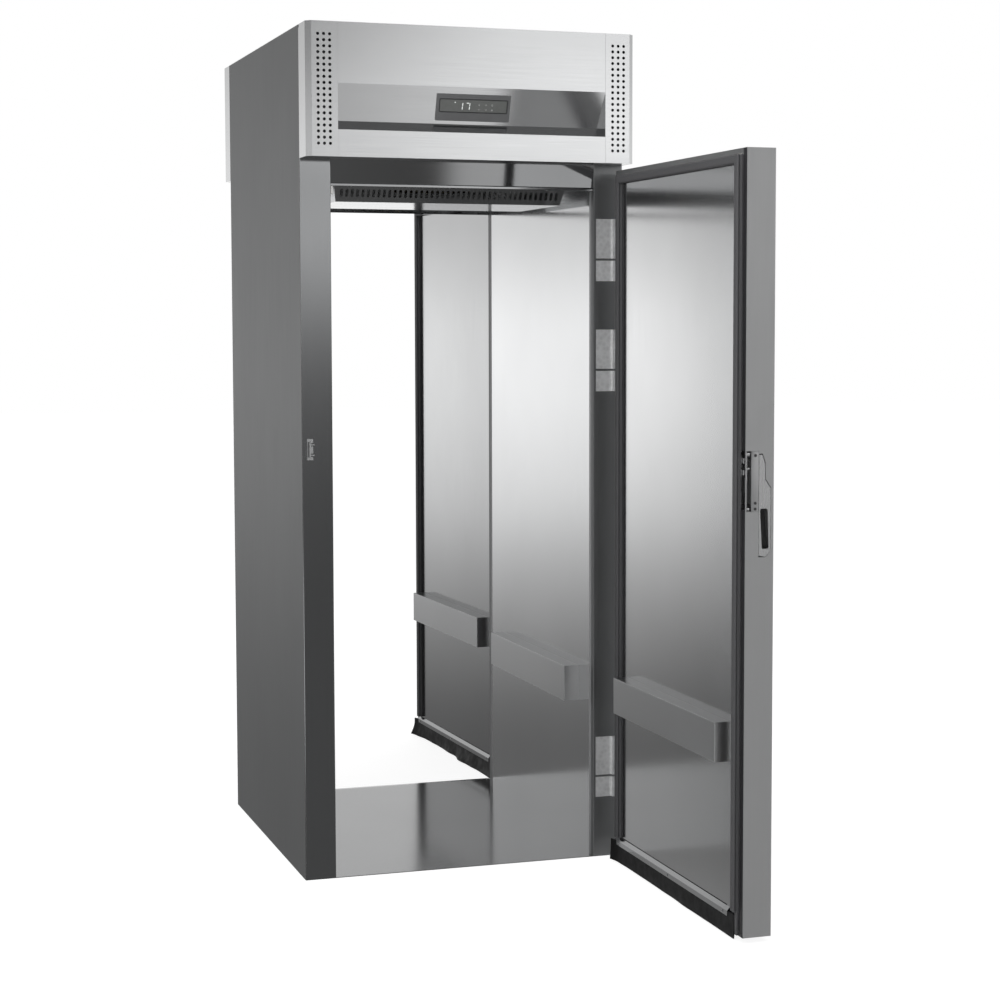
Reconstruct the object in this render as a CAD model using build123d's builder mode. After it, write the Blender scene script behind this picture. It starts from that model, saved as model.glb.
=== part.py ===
from build123d import *
import os
from math import cos, radians, sin

# Pass-through roll-in refrigerator. Millimetres, X to the right, Y to the rear, Z up.
# The origin is the centre of the cabinet's footprint, on the floor.
# The front is at -Y. The front door stands open at a right angle, the rear door a little less.

# cabinet
width = 902
depth = 994
height = 2270
wall = 83
sheet = 1.5
lintel_z = 1855
rear_lintel_z = 1832
lintel_lean = 6.5
ceiling_z = 1865
hood_z = 1924
jamb_depth = 20
break_depth = 16
floor_thickness = 2
corner_radius = 2.5
jamb_radius = 2

# hoods over the doors
hood_projection = 93
hood_chamfer = 14
hood_gap = 0.5
vent_inner_x = 368
vent_columns = 3
vent_rows = 19
vent_column_pitch = 15.7
vent_row_pitch = 15.55
vent_centre_x = 404.4
vent_top_z = 2237
vent_hole = 8
fold_top_z = 2113
fold_deep_z = 2018.5
fold_low_z = 1994
fold_depth = 32.5

# hood pivot
pivot_y = -500
pivot_z = 2264.5
pivot_knuckle = 4
pivot_pin = 2
pivot_length = 90
pivot_x = 330

# controller on the sloping fascia
controller_width = 203.4
controller_height = 71.6
controller_x = 1.5
controller_drop = 54.6
controller_proud = 3
window_width = 187
window_height = 34.8
window_drop = 49
window_thickness = 1

# air plenum under the ceiling
plenum_x = 6
plenum_half = 330
plenum_taper = 8.5
plenum_front_y = -346
plenum_slope_y = -324
plenum_back_y = 40
plenum_low_z = 1822
slot_count = 42
slot_pitch = 15
slot_width = 8
slot_low_z = 1835
slot_high_z = 1856

# ramp behind the rear doorway
sill_half = 412

# wall bumpers
bumper_out = 44
bumper_low_z = 424
bumper_tall = 100
right_bumper_front_y = -373.5
left_bumper_front_y = -300
bumper_back_y = 335

# door, measured from the hinge-side corner of its inner face
door_x = 414
door_y = 550.5
door_width = 888
door_thick = 75
door_low_z = 14.5
door_high_z = 1906
door_lip = 12
panel_low_z = 75
closed_gap = 14
gasket_margin = 27
gasket_width = 22.5
gasket_top_margin = 14
gasket_thick = 13.6
door_bumper_start = 94
door_bumper_end = 804
door_bumper_low_z = 431
door_bumper_tall = 98
door_bumper_out = 40.6
rail_start = 16
rail_end = 808
rail_low_z = 50
rail_bend_z = 62.5
rail_high_z = 72
rail_out = 7
sweep_end = 862
sweep_low_z = 3
rear_turn = 2

# door hinges
hinge_x = 447.25
hinge_y = 544.25
hinge_tops = (1778, 1475, 339)
hinge_tall = 108
knuckle_radius = 6
pin_radius = 3
running_fit = 0.05
knuckle_end = 30
knuckle_gap = 0.4
spring_plate_drop = 114
spring_plate_tall = 56
leaf_inner_x = 375
leaf_bend_x = 421
leaf_proud = 10.5

# latch and handle in the free edge of the door
latch_low_z = 1046
latch_high_z = 1191
slot_near = 3
slot_far = 14.7
plate_far = 34.3
lever_near = 35.4
lever_far = 65.6
lever_low_z = 938
lever_high_z = 1182
lever_pivot_z = 1168
lever_pivot_s = 874
lever_thick = 6
grip_near = 38.2
grip_far = 58.2
grip_low_near = 43.6
grip_low_far = 61.2
grip_low_z = 957
grip_high_z = 1053.5
bolt_travel = 6.9
knob_radius = 4.5
knob_heights = (1145, 1173)
knob_depth = 8.5
keeper_start = 862.5
keeper_end = 878.5
keeper_low_z = 1131
keeper_high_z = 1187

# machinery above the ceiling
evaporator_fan_y = -150
evaporator_hole = 115
evaporator_rotor = 105
condenser_x = -240
condenser_y = -484
condenser_z = 2085
condenser_rotor = 98
rotor_bore = 3
compressor_x = 215
compressor_y = -395
drier_x = 10
drier_y = -420
gland_x = -260
gland_y = 300
gland_hole = 8

half_width = width / 2
half_depth = depth / 2
inner_x = half_width - wall
skin_x = half_width - sheet
liner_end_y = half_depth - jamb_depth - break_depth
jamb_end_y = half_depth - jamb_depth
deck_low_z = hood_z - sheet
hood_front_y = half_depth + hood_projection
door_far_x = door_x + door_thick
slope = Plane(
    origin=(0, -hood_front_y, fold_top_z),
    x_dir=(1, 0, 0),
    z_dir=(0, fold_deep_z - fold_top_z, -fold_depth),
)

os.makedirs("parts", exist_ok=True)


def slab(x_range, y_range, z_range, mode=Mode.ADD):
    """Add a block that spans three ranges to the part being built."""
    low_x, high_x = sorted(x_range)
    low_y, high_y = sorted(y_range)
    low_z, high_z = sorted(z_range)
    with BuildSketch(Plane.XY.offset(low_z)) as base:
        with Locations(((low_x + high_x) / 2, (low_y + high_y) / 2)):
            Rectangle(high_x - low_x, high_y - low_y)
    extrude(base.sketch, amount=high_z - low_z, mode=mode)


def rod(base, direction, radius, length, mode=Mode.ADD):
    """Add a round bar that starts at base and runs along direction."""
    with BuildSketch(Plane(origin=base, z_dir=direction)) as end:
        Circle(radius)
    extrude(end.sketch, amount=length, mode=mode)


def save(name, label):
    """Name a finished piece and write its STEP file."""
    name.part.label = label
    export_step(name.part, f"parts/{label}.step")


def save_twin(name, label):
    """Write the rear door's copy of a front door piece: mirrored, then turned on its hinges."""
    with BuildPart() as mirrored:
        mirror(name.part, about=Plane.XZ)
    with BuildPart() as twin:
        add(mirrored.part.rotate(Axis((hinge_x, hinge_y, 0), (0, 0, 1)), rear_turn))
    save(twin, label)


def door_slab(off, along, z_range, mode=Mode.ADD):
    """A block on the open front door: off is outwards from its inner face, along from the hinge."""
    slab(
        (door_x + off[0], door_x + off[1]),
        (-door_y - along[0], -door_y - along[1]),
        z_range,
        mode,
    )


def edge_plane(along):
    """A plane across the door at a distance from its hinge side: x is outwards, y is up."""
    return Plane(origin=(door_x, -door_y - along, 0), x_dir=(1, 0, 0), z_dir=(0, -1, 0))


# Side walls: an outer casing that wraps round both stiles, and the wall's inner skin.
def side_casing(side, label):
    with BuildPart() as casing:
        slab((side * skin_x, side * half_width), (-half_depth, half_depth), (0, height))
        for end in (-1, 1):
            slab(
                (side * inner_x, side * skin_x),
                (end * (half_depth - sheet), end * half_depth),
                (0, hood_z),
            )
            slab(
                (side * inner_x, side * (inner_x + sheet)),
                (end * jamb_end_y, end * (half_depth - sheet)),
                (0, deck_low_z),
            )
        if side > 0:
            for end in (-1, 1):
                for top in hinge_tops:
                    for high, tall in (
                        (top, hinge_tall),
                        (top - spring_plate_drop, spring_plate_tall),
                    ):
                        slab(
                            (leaf_inner_x - 0.2, hinge_x),
                            (end * (half_depth - sheet), end * half_depth),
                            (high - tall - 0.2, high + 0.2),
                            Mode.SUBTRACT,
                        )
        corners = casing.edges().filter_by(Axis.Z).filter_by(
            lambda edge: abs(abs(edge.center().X) - half_width) < 0.01
            and edge.length > hood_z
        )
        fillet(corners, corner_radius)
        jamb_corners = casing.edges().filter_by(Axis.Z).filter_by(
            lambda edge: abs(abs(edge.center().X) - inner_x) < 0.01
            and abs(abs(edge.center().Y) - half_depth) < 0.01
        )
        fillet(jamb_corners, jamb_radius)
    save(casing, label)


side_casing(-1, "left_side_casing")
side_casing(1, "right_side_casing")


with BuildPart() as wall_liners:
    for side in (-1, 1):
        slab(
            (side * inner_x, side * (inner_x + sheet)),
            (-liner_end_y, liner_end_y),
            (floor_thickness, ceiling_z + sheet),
        )
save(wall_liners, "wall_liners")

# Foam in both side walls and in the ceiling, with the ceiling's air openings.
outlet_rows = (65, 90, 115)


def air_openings(low_z, high_z):
    """Cut the fan's round opening and the outlet slots through a ceiling layer."""
    with BuildSketch(Plane.XY.offset(low_z)) as openings:
        with Locations((0, evaporator_fan_y)):
            Circle(evaporator_hole)
        with Locations(*[(0, row) for row in outlet_rows]):
            SlotOverall(500, 12)
    extrude(openings.sketch, amount=high_z - low_z, mode=Mode.SUBTRACT)


with BuildPart() as foam:
    for side in (-1, 1):
        slab(
            (side * (inner_x + sheet), side * skin_x),
            (-half_depth + sheet, half_depth - sheet),
            (0.5, deck_low_z),
        )
    slab(
        (-inner_x, inner_x),
        (-half_depth + lintel_lean + 2 * sheet, half_depth - sheet),
        (ceiling_z + sheet, deck_low_z),
    )
    air_openings(ceiling_z + sheet, deck_low_z)
save(foam, "cabinet_foam")

with BuildPart() as ceiling:
    slab((-inner_x, inner_x), (-liner_end_y, liner_end_y), (ceiling_z, ceiling_z + sheet))
    air_openings(ceiling_z, ceiling_z + sheet)
save(ceiling, "ceiling_liner")

# Lintels: the front one leans back between its top and the hem along its foot.
with BuildPart() as lintels:
    back_z = (half_depth - sheet, rear_lintel_z + sheet)
    slab((-inner_x, inner_x), (back_z[0], half_depth), (rear_lintel_z, hood_z))
    slab((-inner_x, inner_x), (jamb_end_y, back_z[0]), (rear_lintel_z, back_z[1]))
    slab(
        (-inner_x, inner_x),
        (jamb_end_y, jamb_end_y + sheet),
        (rear_lintel_z, ceiling_z + sheet),
    )
    deep_y = -half_depth + lintel_lean
    with BuildSketch(Plane.YZ.offset(-inner_x)):
        Polygon(
            (-half_depth, hood_z),
            (-half_depth, deck_low_z),
            (deep_y, lintel_z + 8),
            (-half_depth + 0.5, lintel_z + 5),
            (-half_depth + 0.5, lintel_z),
            (-jamb_end_y, lintel_z),
            (-jamb_end_y, ceiling_z + sheet),
            (-jamb_end_y - sheet, ceiling_z + sheet),
            (-jamb_end_y - sheet, lintel_z + sheet),
            (-half_depth + 2, lintel_z + sheet),
            (-half_depth + 2, lintel_z + 4),
            (deep_y + sheet, lintel_z + 7),
            (-half_depth + sheet, deck_low_z),
            (-half_depth + sheet, hood_z),
            align=None,
        )
    extrude(amount=2 * inner_x)
save(lintels, "door_lintels")

# Plastic strips that part the cold inner skins from the stiles and lintels.
with BuildPart() as breaks:
    for end in (-1, 1):
        strip = (end * liner_end_y, end * jamb_end_y)
        for side in (-1, 1):
            slab(
                (side * inner_x, side * (inner_x + sheet)),
                strip,
                (floor_thickness, ceiling_z + sheet),
            )
        slab((-inner_x, inner_x), strip, (ceiling_z, ceiling_z + sheet))
save(breaks, "thermal_break_strips")

with BuildPart() as floor_plate:
    slab((-inner_x, inner_x), (-half_depth, half_depth), (0, floor_thickness))
save(floor_plate, "floor_plate")

# A thin sill behind the rear doorway, ramped down to the floor.
with BuildPart() as sill:
    with BuildSketch(Plane.YZ.offset(-sill_half)):
        Polygon(
            (half_depth, 0),
            (half_depth + 118, 0),
            (half_depth + 118, 0.5),
            (half_depth + 100, 1.5),
            (half_depth, 1.5),
            align=None,
        )
    extrude(amount=2 * sill_half)
save(sill, "rear_sill")

# Folded channels on both inner walls that keep trolleys off them.
with BuildPart() as bumpers:
    for side, front_y in ((-1, left_bumper_front_y), (1, right_bumper_front_y)):
        near, far = side * (inner_x - bumper_out), side * inner_x
        slab(
            (near, far),
            (front_y, bumper_back_y),
            (bumper_low_z, bumper_low_z + bumper_tall),
        )
        slab(
            (near + side * sheet, far),
            (front_y + sheet, bumper_back_y - sheet),
            (bumper_low_z + sheet, bumper_low_z + bumper_tall - sheet),
            Mode.SUBTRACT,
        )
    folds = bumpers.edges().filter_by(
        lambda edge: abs(abs(edge.center().X) - inner_x + bumper_out) < 0.01
    )
    fillet(folds, 1.2)
save(bumpers, "wall_bumpers")

with BuildPart() as roof:
    slab((-skin_x, skin_x), (pivot_y + 6, half_depth), (height - sheet, height))
    rod((gland_x, gland_y, height - sheet), (0, 0, 1), gland_hole, sheet, Mode.SUBTRACT)
save(roof, "roof_panel")

with BuildPart() as deck:
    slab((-skin_x, skin_x), (-half_depth + sheet, half_depth - sheet), (deck_low_z, hood_z))
    air_openings(deck_low_z, hood_z)
save(deck, "machine_deck")

# Hoods: folded sheet boxes, open towards the cabinet.
hood_outline = (
    (-half_width, -half_depth - hood_gap),
    (-half_width, -hood_front_y + hood_chamfer),
    (-half_width + hood_chamfer, -hood_front_y),
    (half_width - hood_chamfer, -hood_front_y),
    (half_width, -hood_front_y + hood_chamfer),
    (half_width, -half_depth - hood_gap),
)
fold_outline = (
    (-hood_front_y, fold_low_z),
    (-hood_front_y, fold_top_z),
    (-hood_front_y + fold_depth, fold_deep_z),
)


def fold(growth, mode):
    """The fascia's folded recess between the vents, grown by a sheet's thickness if asked."""
    with BuildSketch(Plane.YZ.offset(-vent_inner_x - growth)) as section:
        Polygon(*fold_outline, align=None)
        if growth:
            offset(amount=growth, kind=Kind.INTERSECTION)
    extrude(section.sketch, amount=2 * (vent_inner_x + growth), mode=mode)


with BuildPart() as hood_inside:
    with BuildSketch(Plane.XY.offset(hood_z + sheet)):
        Polygon(*hood_outline, align=None)
        offset(amount=-sheet, kind=Kind.INTERSECTION)
        with Locations((0, -half_depth)):
            Rectangle(2 * skin_x, 20)
    extrude(amount=height - hood_z - 2 * sheet)
    fold(sheet, Mode.SUBTRACT)

with BuildPart() as hood_blank:
    with BuildSketch(Plane.XY.offset(hood_z)):
        Polygon(*hood_outline, align=None)
    extrude(amount=height - hood_z)
    fold(0, Mode.SUBTRACT)
    add(hood_inside.part, mode=Mode.SUBTRACT)
    vent_middle_z = vent_top_z - (vent_rows - 1) * vent_row_pitch / 2
    with BuildSketch(Plane.XZ.offset(hood_front_y - 2 * sheet)):
        for side in (-1, 1):
            with Locations((side * vent_centre_x, vent_middle_z)):
                with GridLocations(
                    vent_column_pitch, vent_row_pitch, vent_columns, vent_rows
                ):
                    Circle(vent_hole / 2)
    extrude(amount=3 * sheet, mode=Mode.SUBTRACT)
    for side in (-1, 1):
        slab(
            (side * vent_inner_x - 0.6, side * vent_inner_x + 0.6),
            (-hood_front_y, -hood_front_y + sheet / 2),
            (hood_z, height),
            Mode.SUBTRACT,
        )

with BuildPart() as rear_hood:
    mirror(hood_blank.part, about=Plane.XZ)
save(rear_hood, "rear_hood_panel")

# The front hood swings up, so its top is cut back from its pivot.
with BuildPart() as front_hood:
    add(hood_blank.part)
    slab(
        (-half_width, half_width),
        (pivot_y - 4.5, -half_depth),
        (pivot_z - 3, height),
        Mode.SUBTRACT,
    )
    with BuildSketch(slope):
        with Locations((controller_x, -controller_drop)):
            Rectangle(186.6, 60.6)
    extrude(amount=4 * sheet, both=True, mode=Mode.SUBTRACT)
save(front_hood, "front_hood_panel")

leaf_low_z = height - 2 * sheet - 0.1
with BuildPart() as pivot_fixed:
    for side in (-1, 1):
        middle = side * pivot_x
        for end in (-1, 1):
            inner = middle + end * pivot_length / 6
            outer = middle + end * pivot_length / 2
            slab((inner + end * 0.3, outer), (pivot_y, pivot_y + 34), (leaf_low_z, leaf_low_z + sheet))
            rod(
                (min(inner + end * 0.3, outer), pivot_y, pivot_z),
                (1, 0, 0),
                pivot_knuckle,
                pivot_length / 3 - 0.3,
            )
        rod((middle - pivot_length / 2, pivot_y, pivot_z), (1, 0, 0), pivot_pin, pivot_length)
save(pivot_fixed, "hood_pivots")

with BuildPart() as pivot_moving:
    for side in (-1, 1):
        middle = side * pivot_x
        start = middle - pivot_length / 6
        slab(
            (start, start + pivot_length / 3),
            (pivot_y - 34, pivot_y),
            (leaf_low_z, leaf_low_z + sheet),
        )
        rod((start, pivot_y, pivot_z), (1, 0, 0), pivot_knuckle, pivot_length / 3)
        rod(
            (start, pivot_y, pivot_z),
            (1, 0, 0),
            pivot_pin + running_fit,
            pivot_length / 3,
            Mode.SUBTRACT,
        )
save(pivot_moving, "hood_pivot_leaves")

# Controller: bezel and case in one moulding, with a window let into the bezel.
with BuildPart() as controller:
    with BuildSketch(slope):
        with Locations((controller_x, -controller_drop)):
            RectangleRounded(controller_width, controller_height, 2)
    extrude(amount=controller_proud)
    with BuildSketch(slope.offset(-34)):
        with Locations((controller_x, -controller_drop)):
            Rectangle(186, 60)
    extrude(amount=34)
    with BuildSketch(slope.offset(controller_proud - window_thickness - 0.2)):
        with Locations((controller_x, -window_drop)):
            RectangleRounded(window_width + 1.4, window_height + 1.4, 6)
    extrude(amount=window_thickness + 0.2, mode=Mode.SUBTRACT)
save(controller, "controller_housing")

with BuildPart() as window:
    with BuildSketch(slope.offset(controller_proud - window_thickness - 0.2)):
        with Locations((controller_x, -window_drop)):
            RectangleRounded(window_width, window_height, 5.3)
    extrude(amount=window_thickness)
save(window, "controller_window")

# Air plenum: a folded tray under the ceiling with a slotted, sloping front and tapered ends.
def plenum_block(inset):
    """The tray's outer shape, or its inside if inset by a sheet's thickness."""
    with BuildSketch(Plane.YZ.offset(-plenum_half)) as section:
        Polygon(
            (plenum_front_y + inset, ceiling_z),
            (plenum_slope_y + inset, plenum_low_z + inset),
            (plenum_back_y - inset, plenum_low_z + inset),
            (plenum_back_y - inset, ceiling_z),
            align=None,
        )
    extrude(section.sketch, amount=2 * plenum_half + plenum_x)
    top = plenum_half - inset
    foot = plenum_half - plenum_taper - inset
    with BuildSketch(Plane.XZ) as front:
        Polygon(
            (plenum_x - top, ceiling_z),
            (plenum_x - foot, plenum_low_z),
            (plenum_x + foot, plenum_low_z),
            (plenum_x + top, ceiling_z),
            align=None,
        )
    extrude(front.sketch, amount=500, both=True, mode=Mode.INTERSECT)


with BuildPart() as plenum_inside:
    plenum_block(sheet)

with BuildPart() as plenum:
    plenum_block(0)
    add(plenum_inside.part, mode=Mode.SUBTRACT)
    flange = (plenum_x - plenum_half, plenum_x + plenum_half)
    slab(flange, (plenum_front_y - 16, plenum_front_y + sheet), (ceiling_z - sheet, ceiling_z))
    slab(flange, (plenum_back_y - sheet, plenum_back_y + 16), (ceiling_z - sheet, ceiling_z))
    with BuildSketch(Plane.XZ.offset(-plenum_slope_y - 4)):
        with Locations((plenum_x, (slot_low_z + slot_high_z) / 2)):
            with GridLocations(slot_pitch, 1, slot_count, 1):
                SlotOverall(slot_high_z - slot_low_z, slot_width, rotation=90)
    extrude(amount=30, mode=Mode.SUBTRACT)
save(plenum, "air_plenum")

with BuildPart() as sensor:
    slab((-inner_x, -inner_x + 7), (-half_depth + 4, -half_depth + 20), (lintel_z - 22, lintel_z))
    fillet(sensor.edges().filter_by(Axis.X), 1.5)
save(sensor, "door_sensor")


# Hinges: each has a flush plate in the stile, bent out to the knuckles, and a spring plate below.
def hinge_profile(end, low_z, tall):
    """The cabinet half's section: flush under the gasket, then raised beside the door."""
    face = end * half_depth
    back = end * (half_depth - sheet)
    with BuildSketch(Plane.XY.offset(low_z)) as section:
        Polygon(
            (leaf_inner_x, back),
            (leaf_inner_x, face + end * 0.3),
            (leaf_bend_x - 6, face + end * 0.3),
            (leaf_bend_x - 2, face + end * 1.2),
            (leaf_bend_x, face + end * 3),
            (leaf_bend_x, face + end * leaf_proud),
            (hinge_x - 0.3, face + end * leaf_proud),
            (hinge_x - 0.3, back),
            align=None,
        )
    extrude(section.sketch, amount=tall)


with BuildPart() as cabinet_leaves:
    for end in (-1, 1):
        for top in hinge_tops:
            low = top - hinge_tall
            hinge_profile(end, low, hinge_tall)
            for start in (low, top - knuckle_end):
                slab(
                    (hinge_x - 3.2, hinge_x - 0.3),
                    (end * (half_depth + leaf_proud - 1), end * hinge_y),
                    (start, start + knuckle_end),
                )
                rod((hinge_x, end * hinge_y, start), (0, 0, 1), knuckle_radius, knuckle_end)
                rod(
                    (hinge_x, end * hinge_y, start),
                    (0, 0, 1),
                    pin_radius,
                    knuckle_end,
                    Mode.SUBTRACT,
                )
            spring_top = top - spring_plate_drop
            hinge_profile(end, spring_top - spring_plate_tall, spring_plate_tall)
save(cabinet_leaves, "hinge_plates")

with BuildPart() as pins:
    for end in (-1, 1):
        for top in hinge_tops:
            low = top - hinge_tall
            rod((hinge_x, end * hinge_y, low), (0, 0, 1), pin_radius, hinge_tall)
            rod((hinge_x, end * hinge_y, low - 2), (0, 0, 1), knuckle_radius, 2)
            rod((hinge_x, end * hinge_y, top), (0, 0, 1), knuckle_radius, 2)
save(pins, "hinge_pins")


def keeper_x(along):
    """Where a point of the closed door, measured from its hinge side, stands across the cabinet."""
    return hinge_x + hinge_y - door_y - along


# Keepers on the left stile: a web with two knobs that the latch bolts hold.
with BuildPart() as keepers:
    for end in (-1, 1):
        slab(
            (keeper_x(keeper_start), keeper_x(keeper_end)),
            (end * half_depth, end * (half_depth + 2.5)),
            (keeper_low_z, keeper_high_z),
        )
        reach = closed_gap + knob_depth + knob_radius
        web = (keeper_x(877.5), keeper_x(874.5))
        slab(
            web,
            (end * half_depth, end * (half_depth + reach)),
            (knob_heights[0] - 7, knob_heights[1] + 7),
        )
        for knob_z in knob_heights:
            rod(
                (web[1], end * (half_depth + closed_gap + knob_depth), knob_z),
                (1, 0, 0),
                knob_radius,
                10.5,
            )
save(keepers, "latch_keepers")

# Dome-head screws: three along the plenum, two in each keeper and three in each hinge plate.
with BuildPart() as screws:
    for screw_x in (-279, 0, 279):
        rod((screw_x, plenum_front_y - 8, ceiling_z - sheet - 2.2), (0, 0, 1), 4.5, 2.2)
    for end in (-1, 1):
        for screw_z in (keeper_low_z + 5, keeper_high_z - 5):
            rod(
                ((keeper_x(keeper_start) - 4), end * (half_depth + 2.5), screw_z),
                (0, end, 0),
                3,
                1.6,
            )
        for top in hinge_tops:
            for drop in (14, 54, 94):
                rod((hinge_x - 13, end * (half_depth + leaf_proud), top - drop), (0, end, 0), 4, 1.8)
save(screws, "cabinet_screws")

# Doors, modelled on the open front door; the rear door's pieces are their mirror images.
door_box = ((0, door_thick), (0, door_width), (door_low_z, door_high_z))
case_off = (1.2, 67.5)
case_along = (838, door_width - sheet)
case_z = (928, 1197)
keeper_way = ((0, 1.2), (keeper_start - 1, 884), (latch_low_z + 4, latch_high_z))

with BuildPart() as pan:
    door_slab(*door_box)
    outer_edges = pan.edges().group_by(Axis.X)[-1].filter_by(Axis.Z)
    fillet(outer_edges, 3)
    door_slab(
        (1, door_thick - 1),
        (1, door_width - 1),
        (door_low_z + 1, door_high_z - 1),
        Mode.SUBTRACT,
    )
    door_slab(
        (0, 1),
        (door_lip, door_width - door_lip),
        (door_low_z + door_lip, door_high_z - door_lip),
        Mode.SUBTRACT,
    )
    door_slab(*keeper_way, Mode.SUBTRACT)
    door_slab((slot_near, 34.8), (886, door_width), (latch_low_z, latch_high_z), Mode.SUBTRACT)
    with BuildSketch(edge_plane(886)) as lever_opening:
        with BuildLine():
            Polyline(
                (34.8, lever_low_z - 1),
                (34.8, lever_high_z + 2.5),
                (lever_near + 9.2, lever_high_z + 2.5),
                (52.3, 1162),
                (52.6, 1124),
                (lever_far + 0.6, 1104.5),
                (lever_far + 0.6, lever_low_z + 26),
            )
            RadiusArc((lever_far + 0.6, lever_low_z + 26), (51, lever_low_z - 1), 27)
            Line((51, lever_low_z - 1), (34.8, lever_low_z - 1))
        make_face()
    extrude(lever_opening.sketch, amount=3, mode=Mode.SUBTRACT)
save(pan, "front_door_pan")
save_twin(pan, "rear_door_pan")

with BuildPart() as liner:
    door_slab(
        (0, 1),
        (door_lip + 0.6, door_width - door_lip - 0.6),
        (door_low_z + door_lip + 0.6, door_high_z - door_lip - 0.6),
    )
    door_slab(*keeper_way, Mode.SUBTRACT)
save(liner, "front_door_liner")
save_twin(liner, "rear_door_liner")

with BuildPart() as door_foam:
    door_slab(
        (1, door_thick - 1),
        (1, door_width - 1),
        (door_low_z + 1, door_high_z - 1),
    )
    door_slab((1, case_off[1]), (case_along[0], door_width), case_z, Mode.SUBTRACT)
save(door_foam, "front_door_foam")
save_twin(door_foam, "rear_door_foam")

# The gasket runs up both sides and across the top; its folds narrow it between base and face.
gasket_layers = (
    (0, 2.5, 0),
    (2.5, 5.2, 3),
    (5.2, 8.2, 0),
    (8.2, 10.2, 3),
    (10.2, gasket_thick, 0),
)
with BuildPart() as gasket:
    for low, high, inset in gasket_layers:
        for along in (
            (gasket_margin, gasket_margin + gasket_width),
            (door_width - gasket_margin - gasket_width, door_width - gasket_margin),
        ):
            door_slab(
                (-high, -low),
                (along[0] + inset, along[1] - inset),
                (rail_high_z + 1, door_high_z - gasket_top_margin - inset),
            )
        door_slab(
            (-high, -low),
            (gasket_margin + inset, door_width - gasket_margin - inset),
            (
                door_high_z - gasket_top_margin - gasket_width + inset,
                door_high_z - gasket_top_margin - inset,
            ),
        )
save(gasket, "front_door_gasket")
save_twin(gasket, "rear_door_gasket")

with BuildPart() as door_bumper:
    z_range = (door_bumper_low_z, door_bumper_low_z + door_bumper_tall)
    door_slab((-door_bumper_out, 0), (door_bumper_start, door_bumper_end), z_range)
    door_slab(
        (-door_bumper_out + sheet, 0),
        (door_bumper_start + sheet, door_bumper_end - sheet),
        (z_range[0] + sheet, z_range[1] - sheet),
        Mode.SUBTRACT,
    )
    fillet(door_bumper.edges().group_by(Axis.X)[0], 1.2)
save(door_bumper, "front_door_bumper")
save_twin(door_bumper, "rear_door_bumper")

# A bent strip holds the rubber sweep below the gasket's feet. On the rear door the same strip
# and sweep are fitted the other way round, close to the free edge.
def sweep_rail(start):
    """The strip, from a distance along the door."""
    with BuildPart() as rail:
        with BuildSketch(edge_plane(start)) as section:
            Polygon(
                (0, rail_high_z),
                (-rail_out, rail_bend_z),
                (-rail_out, rail_low_z),
                (-rail_out + sheet, rail_low_z),
                (-rail_out + sheet, rail_bend_z - 0.7),
                (0, rail_high_z - 2.5),
                align=None,
            )
        extrude(section.sketch, amount=rail_end - rail_start)
    return rail


save(sweep_rail(rail_start), "front_sweep_rail")
save_twin(sweep_rail(door_width - rail_end), "rear_sweep_rail")


def sweep_strip(start, end):
    """The rubber sweep: a hanging skirt and a head behind it."""
    with BuildPart() as strip:
        door_slab((-rail_out + sheet, -2), (start, end), (sweep_low_z, rail_bend_z - 1))
        door_slab((-2, 0), (start + 2, end), (door_low_z + 20, rail_bend_z - 1))
    return strip


save(sweep_strip(0, sweep_end), "front_door_sweep")
save_twin(sweep_strip(door_width - sweep_end, door_width - 2), "rear_door_sweep")

# Door halves of the hinges: a plate on the hinge edge and one knuckle between the cabinet's two.
with BuildPart() as door_leaves:
    edge_y = -door_y
    for top in hinge_tops:
        low = top - hinge_tall
        slab((door_x + 8, door_x + 62), (edge_y, edge_y + 2.5), (low, top))
        for start in (low, top - knuckle_end):
            slab(
                (hinge_x - 8, hinge_x + 8),
                (edge_y, edge_y + 2.5),
                (start - 3, start + knuckle_end + knuckle_gap),
                Mode.SUBTRACT,
            )
        slab(
            (hinge_x - 8, hinge_x + 8),
            (edge_y, edge_y + 2.5),
            (top - knuckle_end - knuckle_gap, top + 3),
            Mode.SUBTRACT,
        )
        span = (low + knuckle_end + knuckle_gap, top - knuckle_end - knuckle_gap)
        rod((hinge_x, -hinge_y, span[0]), (0, 0, 1), knuckle_radius, span[1] - span[0])
        slab((hinge_x - 4, hinge_x + 4), (edge_y + 1, -hinge_y), span)
        rod(
            (hinge_x, -hinge_y, span[0]),
            (0, 0, 1),
            pin_radius + running_fit,
            span[1] - span[0],
            Mode.SUBTRACT,
        )
save(door_leaves, "front_door_hinge_leaves")
save_twin(door_leaves, "rear_door_hinge_leaves")

# Latch case: a block in the door's free edge with a bolt chamber and a lever pocket.
chamber = ((1.2, 32.5), (843.5, 885.3), (latch_low_z + 2, latch_high_z + 2))
with BuildPart() as latch_case:
    door_slab(case_off, case_along, case_z)
    door_slab(
        (slot_far, plate_far),
        (case_along[1], door_width),
        (latch_low_z + 0.3, latch_high_z - 0.3),
    )
    door_slab(*chamber, Mode.SUBTRACT)
    door_slab(
        (slot_near, slot_far),
        (885, door_width),
        (latch_low_z, latch_high_z),
        Mode.SUBTRACT,
    )
    door_slab((35, 66), (852, door_width), (lever_low_z - 4, latch_high_z - 4), Mode.SUBTRACT)
    rod(
        (door_x + 32, -door_y - lever_pivot_s, lever_pivot_z),
        (1, 0, 0),
        4 + running_fit,
        4,
        Mode.SUBTRACT,
    )
save(latch_case, "front_latch_case")
save_twin(latch_case, "rear_latch_case")

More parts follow.
